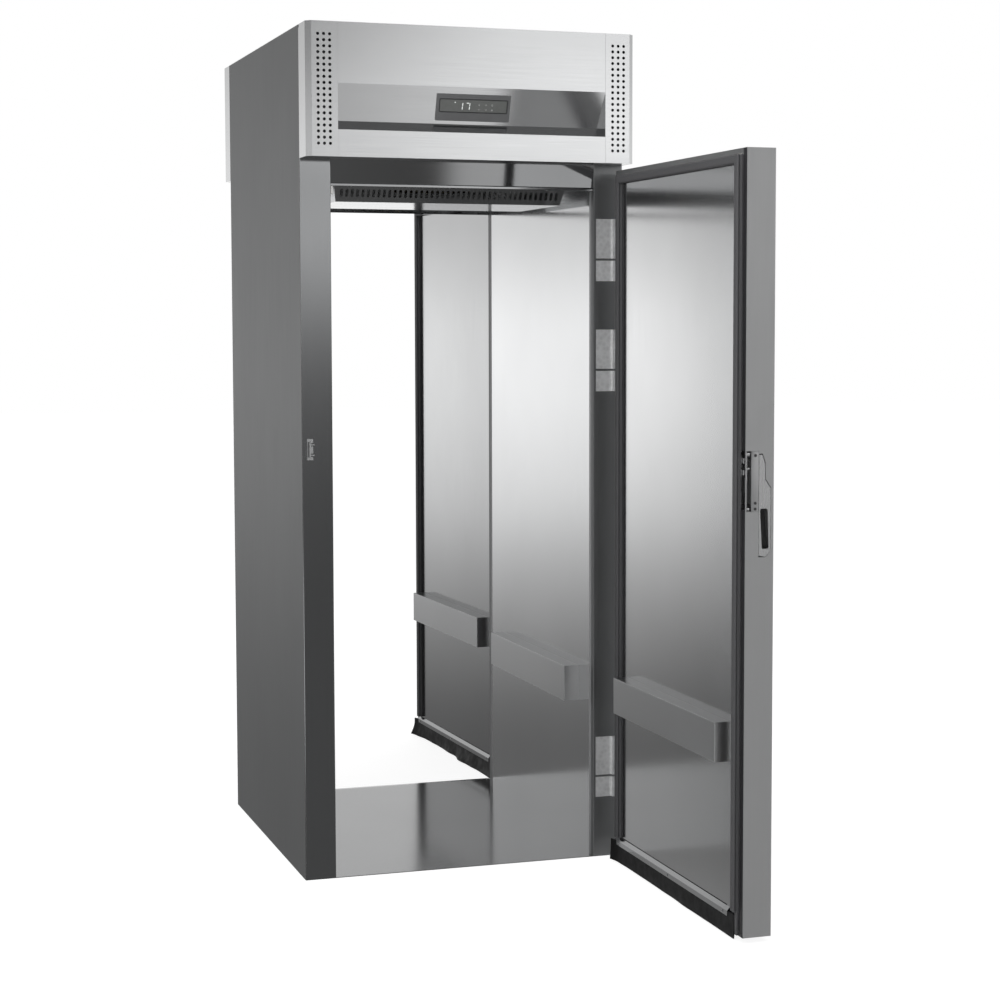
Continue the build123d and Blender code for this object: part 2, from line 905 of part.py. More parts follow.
# The pull lever: a flat lever flush with the door's edge, on a shaft that works the bolt.
lever_swing = 15
arm_tip = (846 + 849) / 2
with BuildPart() as lever:
    with BuildSketch(edge_plane(door_width - lever_thick)):
        with BuildLine():
            Polyline(
                (lever_near, lever_low_z + 3),
                (lever_near, lever_high_z),
                (lever_near + 8, lever_high_z),
                (51, 1160),
                (51.5, 1122),
                (lever_far, 1102),
                (lever_far, lever_low_z + 26),
            )
            RadiusArc((lever_far, lever_low_z + 26), (51, lever_low_z), 26)
            Line((51, lever_low_z), (lever_near, lever_low_z + 3))
        make_face()
    extrude(amount=lever_thick)
    with BuildSketch(edge_plane(door_width - 16)):
        Polygon(
            (grip_low_far + 0.8, grip_low_z + 3),
            (lever_far - 0.7, grip_low_z + 3),
            (lever_far - 0.3, grip_low_z + 5),
            (lever_far - 0.3, grip_high_z - 2),
            (grip_far + 0.9, grip_high_z - 2),
            align=None,
        )
    extrude(amount=12)
    with BuildSketch(edge_plane(door_width - 20)):
        with BuildLine():
            FilletPolyline(
                (grip_low_near, grip_low_z),
                (grip_low_far, grip_low_z),
                (grip_far, grip_high_z),
                (grip_near, grip_high_z),
                radius=5,
                close=True,
            )
        make_face()
    extrude(amount=20, mode=Mode.SUBTRACT)
    pivot = (door_x + 17, -door_y - lever_pivot_s, lever_pivot_z)
    rod(pivot, (1, 0, 0), 4, 32)
    door_slab(
        (36, 49),
        (lever_pivot_s - 5, door_width - lever_thick),
        (lever_pivot_z - 7, lever_pivot_z + 7),
    )
    door_slab((20, 24), (arm_tip, lever_pivot_s), (lever_pivot_z - 2.5, lever_pivot_z + 2.5))
    rod((door_x + 20, -door_y - arm_tip, lever_pivot_z), (1, 0, 0), 3, 4)
save(lever, "front_pull_lever")
save_twin(lever, "rear_pull_lever")

with BuildPart() as bolt:
    door_slab((1.5, 31.5), (846, 849), (1062, 1186))
    for knob_z in knob_heights:
        door_slab((1.5, 3.7), (849, 872), (knob_z - 12, knob_z))
    door_slab((19.6, 24.4), (846, 849), (lever_pivot_z - 3.15, lever_pivot_z + 3.15), Mode.SUBTRACT)
save(bolt, "front_latch_bolt")
save_twin(bolt, "rear_latch_bolt")


# Machinery above the ceiling.
def finned_coil(x_range, y_range, z_range, fins, columns, rows, tube_radius):
    """A tube-and-fin coil: thin fins across X, tubes along X through them, and two end plates."""
    low_x, high_x = x_range
    mid_y = sum(y_range) / 2
    mid_z = sum(z_range) / 2
    deep = y_range[1] - y_range[0]
    tall = z_range[1] - z_range[0]
    pitch = (high_x - low_x) / (fins - 1)
    for count in range(fins):
        thick = 1.5 if count in (0, fins - 1) else 0.8
        with BuildSketch(Plane.YZ.offset(low_x + count * pitch - thick / 2)) as fin:
            with Locations((mid_y, mid_z)):
                Rectangle(deep, tall)
        extrude(fin.sketch, amount=thick)
    with BuildSketch(Plane.YZ.offset(low_x - 6)) as tubes:
        with Locations((mid_y, mid_z)):
            with GridLocations(deep / columns, tall / rows, columns, rows):
                Circle(tube_radius)
    extrude(tubes.sketch, amount=high_x - low_x + 12)


condenser_back = condenser_y + 44
with BuildPart() as condenser:
    finned_coil((-430, -50), (condenser_y, condenser_back), (1950, 2220), 48, 2, 8, 4)
save(condenser, "condenser_coil")

with BuildPart() as cowl:
    slab((-430, -50), (condenser_back + 4, condenser_back + 6), (1926, 2226))
    for x_range in ((-430, -428.5), (-51.5, -50)):
        slab(x_range, (condenser_back + 6, condenser_back + 20), (1926, 2226))
    for z_range in ((1926, 1927.5), (2224.5, 2226)):
        slab((-430, -50), (condenser_back + 6, condenser_back + 20), z_range)
    centre = (condenser_x, condenser_back + 4, condenser_z)
    rod(centre, (0, 1, 0), condenser_rotor + 10, 30)
    rod(centre, (0, 1, 0), condenser_rotor + 8, 30, Mode.SUBTRACT)
    for side in (-1, 1):
        slab(
            (condenser_x + side * 118, condenser_x + side * 115),
            (condenser_back + 6, condenser_back + 64),
            (condenser_z - 10, condenser_z + 10),
        )
    slab(
        (condenser_x - 118, condenser_x + 118),
        (condenser_back + 61, condenser_back + 64),
        (condenser_z - 10, condenser_z + 10),
    )
save(cowl, "condenser_cowl")


def fan_rotor(plane, radius, hub, deep, blades):
    """A fan wheel on a plane: a hub with a shaft bore and pitched blades."""
    with BuildSketch(plane) as disc:
        Circle(hub)
    extrude(disc.sketch, amount=deep)
    for count in range(blades):
        turn = radians(360 * count / blades)
        outward = plane.x_dir * cos(turn) + plane.y_dir * sin(turn)
        around = plane.y_dir * cos(turn) - plane.x_dir * sin(turn)
        root = Plane(
            origin=plane.origin + plane.z_dir * (deep / 2) + outward * (hub - 2),
            x_dir=around * cos(radians(35)) + plane.z_dir * sin(radians(35)),
            z_dir=outward,
        )
        with BuildSketch(root) as inner:
            Rectangle(34, 1.6)
        with BuildSketch(root.offset(radius - hub)) as outer:
            Rectangle(44, 1.6, rotation=-12)
        loft([inner.sketch, outer.sketch])
    with BuildSketch(plane) as bore:
        Circle(rotor_bore + running_fit)
    extrude(bore.sketch, amount=deep, mode=Mode.SUBTRACT)


with BuildPart() as condenser_fan:
    facing = Plane(
        origin=(condenser_x, condenser_back + 8, condenser_z), x_dir=(1, 0, 0), z_dir=(0, 1, 0)
    )
    fan_rotor(facing, condenser_rotor - 2, 28, 26, 5)
save(condenser_fan, "condenser_fan_rotor")

with BuildPart() as condenser_motor:
    rod((condenser_x, condenser_back + 36.5, condenser_z), (0, 1, 0), 36, 24.5)
    rod((condenser_x, condenser_back + 12, condenser_z), (0, 1, 0), rotor_bore, 24.5)
save(condenser_motor, "condenser_fan_motor")

with BuildPart() as evaporator_case:
    slab((-300, 300), (-290, 150), (hood_z, 2110))
    slab((-280, 280), (-270, 130), (hood_z, 2090), Mode.SUBTRACT)
    fillet(evaporator_case.edges().group_by(Axis.Z)[-1], 3)
save(evaporator_case, "evaporator_case")

with BuildPart() as evaporator:
    finned_coil((-262, 262), (-15, 45), (1934, 2078), 44, 3, 6, 5)
save(evaporator, "evaporator_coil")

with BuildPart() as evaporator_fan:
    facing = Plane(origin=(0, evaporator_fan_y, 1882), x_dir=(1, 0, 0), z_dir=(0, 0, 1))
    fan_rotor(facing, evaporator_rotor - 2, 30, 28, 5)
save(evaporator_fan, "evaporator_fan_rotor")

with BuildPart() as evaporator_motor:
    rod((0, evaporator_fan_y, 1914), (0, 0, 1), 42, 46)
    rod((0, evaporator_fan_y, 1886), (0, 0, 1), rotor_bore, 28)
    slab((-140, 140), (evaporator_fan_y - 12, evaporator_fan_y + 12), (1960, 1963))
    for side in (-1, 1):
        slab(
            (side * 137, side * 140),
            (evaporator_fan_y - 12, evaporator_fan_y + 12),
            (hood_z, 1960),
        )
        slab(
            (side * 120, side * 140),
            (evaporator_fan_y - 12, evaporator_fan_y + 12),
            (hood_z, hood_z + 3),
        )
save(evaporator_motor, "evaporator_fan_motor")

# Compressor: a welded can with a flange seam on a foot plate, and a terminal box.
can_low_z = hood_z + 14
with BuildPart() as compressor:
    with BuildSketch(Plane(origin=(compressor_x, compressor_y, 0), x_dir=(1, 0, 0), z_dir=(0, -1, 0))):
        with BuildLine():
            Polyline(
                (0, can_low_z + 190),
                (0, can_low_z),
                (55, can_low_z),
                (78, can_low_z + 20),
                (80, can_low_z + 86),
                (85, can_low_z + 88),
                (85, can_low_z + 94),
                (80, can_low_z + 96),
                (78, can_low_z + 140),
            )
            Spline(
                (78, can_low_z + 140),
                (55, can_low_z + 178),
                (0, can_low_z + 190),
                tangents=[(0, 1), (-1, 0)],
            )
        make_face()
    revolve(axis=Axis((compressor_x, compressor_y, 0), (0, 0, 1)))
    slab(
        (compressor_x - 100, compressor_x + 100),
        (compressor_y - 70, compressor_y + 70),
        (can_low_z - 2, can_low_z + 1),
    )
    rod((compressor_x - 20, compressor_y, can_low_z + 180), (0, 0, 1), 6, 16)
    rod((compressor_x - 92, compressor_y, can_low_z + 132), (1, 0, 0), 8, 30)
    slab(
        (compressor_x + 60, compressor_x + 108),
        (compressor_y - 28, compressor_y + 28),
        (can_low_z + 40, can_low_z + 84),
    )
save(compressor, "compressor")

with BuildPart() as grommets:
    for side in (-1, 1):
        for end in (-1, 1):
            rod(
                (compressor_x + side * 88, compressor_y + end * 58, hood_z),
                (0, 0, 1),
                10,
                can_low_z - 2 - hood_z,
            )
save(grommets, "compressor_mounts")


def pipe(points, radius, bend):
    """A bent copper pipe along points, with round bends."""
    with BuildLine() as route:
        FilletPolyline(*points, radius=bend)
    with BuildSketch(Plane(origin=route.line @ 0, z_dir=route.line % 0)) as ring:
        Circle(radius)
    sweep(ring.sketch, path=route.line)


with BuildPart() as pipes:
    pipe(
        (
            (compressor_x - 20, compressor_y, can_low_z + 196),
            (compressor_x - 20, compressor_y, 2190),
            (20, compressor_y, 2190),
            (20, condenser_y + 11, 2190),
            (-43.5, condenser_y + 11, 2190),
        ),
        4,
        20,
    )
    pipe(
        (
            (-43.5, condenser_y + 33, 1966.875),
            (drier_x, condenser_y + 33, 1966.875),
            (drier_x, drier_y, 1966.875),
            (drier_x, drier_y, 1996),
        ),
        3,
        12,
    )
    pipe(
        (
            (drier_x, drier_y, 2124),
            (drier_x, drier_y, 2150),
            (drier_x, -340, 2150),
            (drier_x, -340, 2050),
            (drier_x, -290.2, 2050),
        ),
        3,
        12,
    )
    pipe(
        (
            (70, -290.2, 2010),
            (70, -330, 2010),
            (70, -330, 2070),
            (70, compressor_y, 2070),
            (compressor_x - 92, compressor_y, 2070),
        ),
        6,
        18,
    )
    with BuildSketch(
        Plane(origin=(drier_x, drier_y, 0), x_dir=(1, 0, 0), z_dir=(0, -1, 0))
    ) as drier_profile:
        Polygon(
            (0, 1996),
            (4, 1996),
            (14, 2010),
            (14, 2110),
            (4, 2124),
            (0, 2124),
            align=None,
        )
    revolve(drier_profile.sketch, axis=Axis((drier_x, drier_y, 0), (0, 0, 1)))
save(pipes, "refrigerant_pipes")

with BuildPart() as electrics:
    slab((150, 390), (210, 400), (hood_z, 2050))
    slab((147, 393), (207, 403), (2050, 2064))
    for offset_x in (190, 230, 270):
        rod((offset_x, 210, 1960), (0, -1, 0), 9, 14)
    fillet(electrics.edges().group_by(Axis.Z)[-1], 3)
save(electrics, "electrical_box")

with BuildPart() as tray:
    slab((-350, 60), (210, 420), (hood_z, 1966))
    slab((-348, 58), (212, 418), (hood_z + 2, 1966), Mode.SUBTRACT)
    rod((-120, 150, 1950), (0, 1, 0), 8, 75)
    rod((-120, 150, 1950), (0, 1, 0), 6, 75, Mode.SUBTRACT)
save(tray, "condensate_tray")

with BuildPart() as gland:
    rod((gland_x, gland_y, height), (0, 0, 1), 11, 3)
    rod((gland_x, gland_y, height - 12), (0, 0, 1), gland_hole - 0.1, 12)
    rod((gland_x, gland_y, height + 3), (0, 0, 1), 8.5, 7)
    rod((gland_x, gland_y, height - 12), (0, 0, 1), 4.5, 30, Mode.SUBTRACT)
save(gland, "cable_gland")
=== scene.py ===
from math import atan2, pi, radians, sin

import bmesh
import bpy
from bpy.props import FloatProperty, FloatVectorProperty, PointerProperty
from mathutils import Matrix, Vector


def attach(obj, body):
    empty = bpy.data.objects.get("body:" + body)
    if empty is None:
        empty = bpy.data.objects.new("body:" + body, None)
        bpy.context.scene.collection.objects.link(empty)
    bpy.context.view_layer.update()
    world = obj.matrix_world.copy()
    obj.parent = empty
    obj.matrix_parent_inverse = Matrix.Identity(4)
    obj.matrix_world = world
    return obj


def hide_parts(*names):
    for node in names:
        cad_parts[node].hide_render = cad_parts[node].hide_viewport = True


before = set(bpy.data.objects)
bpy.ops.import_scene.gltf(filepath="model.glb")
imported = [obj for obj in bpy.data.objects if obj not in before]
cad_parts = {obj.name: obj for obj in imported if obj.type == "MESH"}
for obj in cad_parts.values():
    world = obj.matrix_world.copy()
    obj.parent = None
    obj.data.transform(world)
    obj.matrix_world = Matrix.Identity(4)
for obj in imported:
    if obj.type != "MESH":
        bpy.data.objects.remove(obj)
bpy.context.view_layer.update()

bl_info = {
    "name": "Pass-through cold cabinet",
    "version": (1, 1, 0),
    "blender": (4, 5, 0),
    "location": "3D View > Sidebar > Cold Cabinet",
    "description": "Finishes, rubber, display and fittings of a pass-through cold cabinet",
    "category": "Object",
}

ENDS = ("front", "rear")
# A door square to the cabinet: its inner face, its hinge edge and its width
DOOR_X = 0.414
DOOR_Y = 0.5505
DOOR_WIDTH = 0.888
# The rear door stands a little short of square, turned about its own pins
HINGE_PIN = Vector((0.44725, 0.54425, 0))
REAR_TURN = radians(2.0)
HINGE_TOPS = (1.778, 1.475, 0.339)
# The rear door's wiper and rail screws are fitted from its free edge
OTHER_WAY_ROUND = Matrix.Translation((0, DOOR_WIDTH, 0)) @ Matrix.Diagonal((1, -1, 1, 1))
# Past this depth the casings are the stiles; below this height the plenum is its underside, which
# is painted darker as shade
STILE_Y = 0.4955
PLENUM_UNDERSIDE_Z = 1.8224
# The right stile stands beside the open door and mirrors it, so it is duller
RIGHT_STILE_ROUGHNESS = 0.42
# Sheet colours and a polish that no setting covers. Three of these greys are painted shade: the
# lintel's darker grey beneath the hood, the plenum's darker underside, and the rear door liner's
# darker copy of the front liner's grey
# Painted shade: the lintel beneath the hood gets a darker grey than the cabin sheet
LINTEL_SHADE_GREY = (0.36, 0.364, 0.368)
# Painted shade: the plenum's underside is darker than its sides
PLENUM_UNDER_SHADE_GREY = (0.38, 0.384, 0.388)
# Painted light and shade: one liner grey as a lighter copy for the front door and a darker copy
# for the rear door
FRONT_LINER_LIT_GREY = (0.61, 0.614, 0.618)
REAR_LINER_SHADE_GREY = (0.43, 0.434, 0.438)
LINER_ROUGHNESS = 0.14
# The lightest tone that the room's ramps can hold; white is 1
BRIGHTEST = 2.5


class SteelSettings(bpy.types.PropertyGroup):
    """The colours and polish of the sheet steel."""

    wall_colour: FloatVectorProperty(
        name="Wall colour",
        description="Bright annealed sheet of the cabin walls and door liners",
        subtype="COLOR",
        default=(0.55, 0.555, 0.56),
    )
    side_colour: FloatVectorProperty(
        name="Side colour",
        description="Satin sheet of the side casings",
        subtype="COLOR",
        default=(0.26, 0.264, 0.268),
    )
    stile_colour: FloatVectorProperty(
        name="Stile colour",
        description="The casings where they turn round the doorway",
        subtype="COLOR",
        default=(0.3, 0.305, 0.31),
    )
    door_colour: FloatVectorProperty(
        name="Door colour",
        description="Satin sheet of the door pans",
        subtype="COLOR",
        default=(0.52, 0.524, 0.528),
    )
    hood_colour: FloatVectorProperty(
        name="Hood colour",
        description="Brushed sheet of both hoods",
        subtype="COLOR",
        default=(0.58, 0.585, 0.59),
    )
    fitting_colour: FloatVectorProperty(
        name="Fitting colour",
        description="Hinges, keepers, levers and screws",
        subtype="COLOR",
        default=(0.62, 0.625, 0.63),
    )
    wall_roughness: FloatProperty(
        name="Wall roughness",
        description="Blur of the reflections in the cabin walls",
        subtype="FACTOR",
        default=0.14,
        min=0,
        max=1,
    )
    side_roughness: FloatProperty(
        name="Side roughness",
        description="Blur of the reflections in the side casings",
        subtype="FACTOR",
        default=0.5,
        min=0,
        max=1,
    )
    stile_roughness: FloatProperty(
        name="Stile roughness",
        description="Blur of the reflections beside the doorway",
        subtype="FACTOR",
        default=0.1,
        min=0,
        max=1,
    )


class RubberSettings(bpy.types.PropertyGroup):
    """The gaskets round the doors and the wipers below them."""

    gasket_colour: FloatVectorProperty(
        name="Gasket colour",
        description="Extruded magnetic gasket",
        subtype="COLOR",
        default=(0.04, 0.04, 0.0415),
    )
    wiper_colour: FloatVectorProperty(
        name="Wiper colour",
        description="Rubber strip below each door",
        subtype="COLOR",
        default=(0.007, 0.007, 0.0074),
    )
    front_ripple: FloatProperty(
        name="Front ripple",
        description="How far the front wiper waves in and out at its lower edge",
        unit="LENGTH",
        default=0.005,
        min=0,
    )
    rear_ripple: FloatProperty(
        name="Rear ripple",
        description="How far the rear wiper waves in and out at its lower edge",
        unit="LENGTH",
        default=0.024,
        min=0,
    )


class ControllerSettings(bpy.types.PropertyGroup):
    """The readout in the front hood."""

    digit_colour: FloatVectorProperty(
        name="Digit colour",
        description="Light of the lit segments",
        subtype="COLOR",
        default=(0.8, 0.84, 0.82),
    )
    digit_height: FloatProperty(
        name="Digit height",
        description="Height of the numerals",
        unit="LENGTH",
        default=0.0172,
        min=0.005,
    )
    segment_width: FloatProperty(
        name="Segment width",
        description="Width of one lit segment",
        unit="LENGTH",
        default=0.0017,
        min=0.0005,
    )


class StudioSettings(bpy.types.PropertyGroup):
    """The floor, the light and the camera."""

    focal_length: FloatProperty(
        name="Focal length",
        description="Lens of the camera, in millimetres",
        default=79.26,
        min=10,
    )
    floor_size: FloatProperty(
        name="Floor size",
        description="Side of the square floor",
        unit="LENGTH",
        default=60.0,
    )
    fill: FloatProperty(
        name="Fill",
        description="Strength of the light from all round",
        default=0.55,
        min=0,
    )
    reflected: FloatProperty(
        name="Reflected room",
        description="Strength of the room as the metal shows it",
        default=BRIGHTEST,
        min=0,
    )


def clear_selection():
    """Leave edit mode and select nothing."""
    if bpy.context.object and bpy.context.object.mode != "OBJECT":
        bpy.ops.object.mode_set(mode="OBJECT")
    bpy.ops.object.select_all(action="DESELECT")


def only(piece):
    """Select one piece and make it the active one."""
    clear_selection()
    piece.select_set(True)
    bpy.context.view_layer.objects.active = piece


def edit(piece):
    """Open a piece for mesh editing."""
    only(piece)
    bpy.ops.object.mode_set(mode="EDIT")


def choose_faces(piece, wanted):
    """In edit mode, select the faces that a test picks."""
    bpy.ops.mesh.select_mode(type="FACE")
    bpy.ops.mesh.select_all(action="DESELECT")
    mesh = bmesh.from_edit_mesh(piece.data)
    for face in mesh.faces:
        face.select_set(wanted(face))
    bmesh.update_edit_mesh(piece.data)


def bake_place(piece):
    """Move a piece's place, turn and size into its mesh."""
    only(piece)
    bpy.ops.object.transform_apply(location=True, rotation=True, scale=True)


def finish_modifier(piece, modifier):
    """Apply a modifier by name."""
    only(piece)
    bpy.ops.object.modifier_apply(modifier=modifier.name)


def round_edges(piece, width, segments=2, angle=30):
    """Bevel every edge sharper than an angle."""
    bevel = piece.modifiers.new("rounding", "BEVEL")
    bevel.width = width
    bevel.segments = segments
    bevel.limit_method = "ANGLE"
    bevel.angle_limit = radians(angle)
    finish_modifier(piece, bevel)


def block(low, high, rounding):
    """A block between two corners with rounded edges."""
    clear_selection()
    middle = [(first + last) / 2 for first, last in zip(low, high)]
    bpy.ops.mesh.primitive_cube_add(size=1, location=middle)
    piece = bpy.context.object
    piece.scale = [last - first for first, last in zip(low, high)]
    bake_place(piece)
    round_edges(piece, rounding)
    return piece


def join(name, parts):
    """Make one piece of several."""
    clear_selection()
    for part in parts:
        part.select_set(True)
    bpy.context.view_layer.objects.active = parts[0]
    if len(parts) > 1:
        bpy.ops.object.join()
    parts[0].name = name
    return parts[0]


def copies(name, pattern, places):
    """Copies of a pattern at several places, joined; the pattern itself goes."""
    made = []
    for place in places:
        twin = pattern.copy()
        twin.data = pattern.data.copy()
        twin.data.transform(place)
        bpy.context.collection.objects.link(twin)
        made.append(twin)
    bpy.data.objects.remove(pattern)
    return join(name, made)


def settle(piece, finish, body, place=None, angle=35):
    """Put a piece in its place, facing outwards, and give it its finish and its body."""
    if place is not None:
        piece.data.transform(place)
    edit(piece)
    bpy.ops.mesh.select_all(action="SELECT")
    bpy.ops.mesh.normals_make_consistent(inside=False)
    bpy.ops.object.mode_set(mode="OBJECT")
    bpy.ops.object.shade_smooth_by_angle(angle=radians(angle))
    piece.data.materials.clear()
    piece.data.materials.append(bpy.data.materials[finish])
    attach(piece, body)
    return piece


def door_place(end):
    """From a door's own lengths (outwards, along from the hinge, up) to the frame."""
    side = -1 if end == "front" else 1
    upright = Matrix.Translation((DOOR_X, side * DOOR_Y, 0)) @ Matrix.Diagonal((1, side, 1, 1))
    if end == "front":
        return upright
    turn = Matrix.Rotation(REAR_TURN, 4, "Z")
    return Matrix.Translation(HINGE_PIN) @ turn @ Matrix.Translation(-HINGE_PIN) @ upright


class Finish:
    """A node material under construction."""

    def __init__(self, name):
        self.material = bpy.data.materials.new(name)
        self.material.use_nodes = True
        self.tree = self.material.node_tree
        self.nodes = self.tree.nodes
        self.shader = self.nodes["Principled BSDF"]
        self.coordinates = self.nodes.new("ShaderNodeTexCoord").outputs["Object"]

    def link(self, source, target):
        """Join an output to an input."""
        self.tree.links.new(source, target)

    def noise(self, scale, detail=3.0, stretch=(1, 1, 1), roughness=0.5):
        """A noise on the object's coordinates, stretched along some of them."""
        mapping = self.nodes.new("ShaderNodeMapping")
        mapping.inputs["Scale"].default_value = stretch
        self.link(self.coordinates, mapping.inputs["Vector"])
        texture = self.nodes.new("ShaderNodeTexNoise")
        texture.inputs["Scale"].default_value = scale
        texture.inputs["Detail"].default_value = detail
        texture.inputs["Roughness"].default_value = roughness
        self.link(mapping.outputs["Vector"], texture.inputs["Vector"])
        return texture.outputs["Fac"]

    def between(self, value, low, high, start=0.35, end=0.65):
        """A value rescaled to run from low to high."""
        scale = self.nodes.new("ShaderNodeMapRange")
        scale.inputs["From Min"].default_value = start
        scale.inputs["From Max"].default_value = end
        scale.inputs["To Min"].default_value = low
        scale.inputs["To Max"].default_value = high
        self.link(value, scale.inputs["Value"])
        return scale.outputs["Result"]

    def blend(self, value, first, second):
        """Two colours or colour outputs mixed by a value."""
        mix = self.nodes.new("ShaderNodeMix")
        mix.data_type = "RGBA"
        for socket, colour in ((mix.inputs[6], first), (mix.inputs[7], second)):
            if isinstance(colour, tuple):
                socket.default_value = (*colour, 1)
            else:
                self.link(colour, socket)
        self.link(value, mix.inputs[0])
        return mix.outputs[2]

    def mottle(self, value, colour, spread):
        """A colour made a little darker and lighter by a value."""
        return self.blend(value, shade(colour, 1 - spread), shade(colour, 1 + spread))

    def paint(self, colour):
        """Use a colour output as the base colour."""
        self.link(colour, self.shader.inputs["Base Color"])

    def roughen(self, value):
        """Use a value as the roughness."""
        self.link(value, self.shader.inputs["Roughness"])

    def mix_values(self, factor, first, second):
        """A value that runs from one output to another."""
        mix = self.nodes.new("ShaderNodeMix")
        mix.data_type = "FLOAT"
        self.link(factor, mix.inputs[0])
        self.link(first, mix.inputs[2])
        self.link(second, mix.inputs[3])
        return mix.outputs[0]

    def beyond(self, axis, limit):
        """1 where the distance from the middle along an axis passes a limit."""
        parts = self.nodes.new("ShaderNodeSeparateXYZ")
        self.link(self.coordinates, parts.inputs[0])
        size = self.nodes.new("ShaderNodeMath")
        size.operation = "ABSOLUTE"
        self.link(parts.outputs[axis], size.inputs[0])
        past = self.nodes.new("ShaderNodeMath")
        past.operation = "GREATER_THAN"
        past.inputs[1].default_value = limit
        self.link(size.outputs[0], past.inputs[0])
        return past.outputs[0]

    def bump(self, height, strength, distance):
        """Raise the surface by a height pattern."""
        bump = self.nodes.new("ShaderNodeBump")
        bump.inputs["Strength"].default_value = strength
        bump.inputs["Distance"].default_value = distance
        self.link(height, bump.inputs["Height"])
        self.link(bump.outputs["Normal"], self.shader.inputs["Normal"])


def shade(colour, factor):
    """A colour made lighter or darker."""
    return tuple(min(1.0, part * factor) for part in colour)


def sheet_steel(name, colour, roughness, grain, waves=0.0, grain_depth=0.03):
    """Sheet steel: fine grain along one axis, faint smears and, if asked, slow waves."""
    finish = Finish(name)
    finish.shader.inputs["Metallic"].default_value = 1
    stretch = tuple(5.0 if axis == grain else 420.0 for axis in range(3))
    fine = finish.noise(1.0, detail=3, stretch=stretch)
    smears = finish.noise(2.1, detail=4, roughness=0.55)
    finish.paint(finish.mottle(finish.between(smears, 0, 1), tuple(colour), 0.025))
    finish.roughen(finish.between(fine, roughness * 0.93, roughness * 1.08))
    if waves:
        finish.bump(finish.noise(2.4, detail=1.0), waves, 0.004)
    else:
        finish.bump(fine, grain_depth, 0.0002)
    return finish.material


def casing_steel(name, side, side_roughness, stile, stile_roughness):
    """The casings: satin on the cabinet's sides, brighter where they turn round the doorway."""
    finish = Finish(name)
    finish.shader.inputs["Metallic"].default_value = 1
    fine = finish.noise(1.0, detail=3, stretch=(420, 420, 5))
    smears = finish.noise(1.6, detail=4, roughness=0.55)
    cloud = finish.between(smears, 0, 1)
    turned = finish.beyond("Y", STILE_Y)
    finish.paint(
        finish.blend(
            turned,
            finish.mottle(cloud, tuple(side), 0.03),
            finish.mottle(cloud, tuple(stile), 0.03),
        )
    )
    finish.roughen(
        finish.mix_values(
            turned,
            finish.between(fine, side_roughness * 0.96, side_roughness * 1.04),
            finish.between(fine, stile_roughness * 0.92, stile_roughness * 1.1),
        )
    )
    finish.bump(finish.noise(1.9, detail=1.5), 0.03, 0.004)
    return finish.material


def shaded_soffit_steel(name, colour, under_shade_colour, roughness, level):
    """Sheet steel whose underside, below a level, is painted darker than its sides, as shade under
    it.
    """
    finish = Finish(name)
    finish.shader.inputs["Metallic"].default_value = 1
    fine = finish.noise(1.0, detail=3, stretch=(5, 420, 420))
    cloud = finish.between(finish.noise(2.1, detail=4, roughness=0.55), 0, 1)
    # Painted shade: below the level, the underside takes the darker grey
    finish.paint(
        finish.blend(
            finish.beyond("Z", level),
            finish.mottle(cloud, under_shade_colour, 0.03),
            finish.mottle(cloud, tuple(colour), 0.03),
        )
    )
    finish.roughen(finish.between(fine, roughness * 0.93, roughness * 1.08))
    finish.bump(fine, 0.03, 0.0002)
    return finish.material


def rubber(name, colour):
    """Extruded rubber: dull, with a bloom that lightens it here and there."""
    finish = Finish(name)
    bloom = finish.noise(38, detail=6)
    finish.paint(finish.mottle(finish.between(bloom, 0, 1), tuple(colour), 0.22))
    finish.roughen(finish.between(bloom, 0.48, 0.64))
    finish.shader.inputs["Specular IOR Level"].default_value = 0.3
    finish.bump(finish.noise(900, detail=2), 0.12, 0.0004)
    return finish.material


def plastic(name, colour, roughness=0.45):
    """Moulded plastic with a fine texture."""
    finish = Finish(name)
    cloud = finish.noise(24, detail=4)
    finish.paint(finish.mottle(finish.between(cloud, 0, 1), colour, 0.06))
    finish.roughen(finish.between(cloud, roughness * 0.92, roughness * 1.1))
    finish.bump(finish.noise(1400, detail=1), 0.1, 0.0002)
    return finish.material


def coated(name, colour, roughness, metallic):
    """Zinc or paint over plain sheet, a little uneven."""
    finish = Finish(name)
    finish.shader.inputs["Metallic"].default_value = metallic
    spangle = finish.nodes.new("ShaderNodeTexVoronoi")
    spangle.inputs["Scale"].default_value = 90
    finish.link(finish.coordinates, spangle.inputs["Vector"])
    patches = finish.between(spangle.outputs["Distance"], 0, 1, 0.0, 0.8)
    finish.paint(finish.mottle(patches, colour, 0.09))
    cloud = finish.noise(30, detail=4)
    finish.roughen(finish.between(cloud, roughness * 0.9, roughness * 1.12))
    finish.bump(cloud, 0.08, 0.0005)
    return finish.material


def display_glass(name):
    """The smoked window of the controller."""
    finish = Finish(name)
    haze = finish.noise(60, detail=3)
    finish.paint(finish.mottle(finish.between(haze, 0, 1), (0.1, 0.105, 0.1), 0.08))
    finish.roughen(finish.between(haze, 0.16, 0.24))
    finish.shader.inputs["Coat Weight"].default_value = 0.4
    return finish.material


def lit(name, colour, strength):
    """A lit segment or lamp, a little brighter in places."""
    finish = Finish(name)
    glow = finish.noise(300, detail=2)
    finish.paint(finish.mottle(finish.between(glow, 0, 1), (0.3, 0.31, 0.3), 0.1))
    finish.link(
        finish.mottle(finish.between(glow, 0, 1), tuple(colour), 0.06),
        finish.shader.inputs["Emission Color"],
    )
    finish.shader.inputs["Emission Strength"].default_value = strength
    return finish.material


def assign(material, *nodes):
    """Give CAD nodes a finish."""
    for node in nodes:
        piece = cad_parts[node]
        piece.data.materials.clear()
        piece.data.materials.append(material)


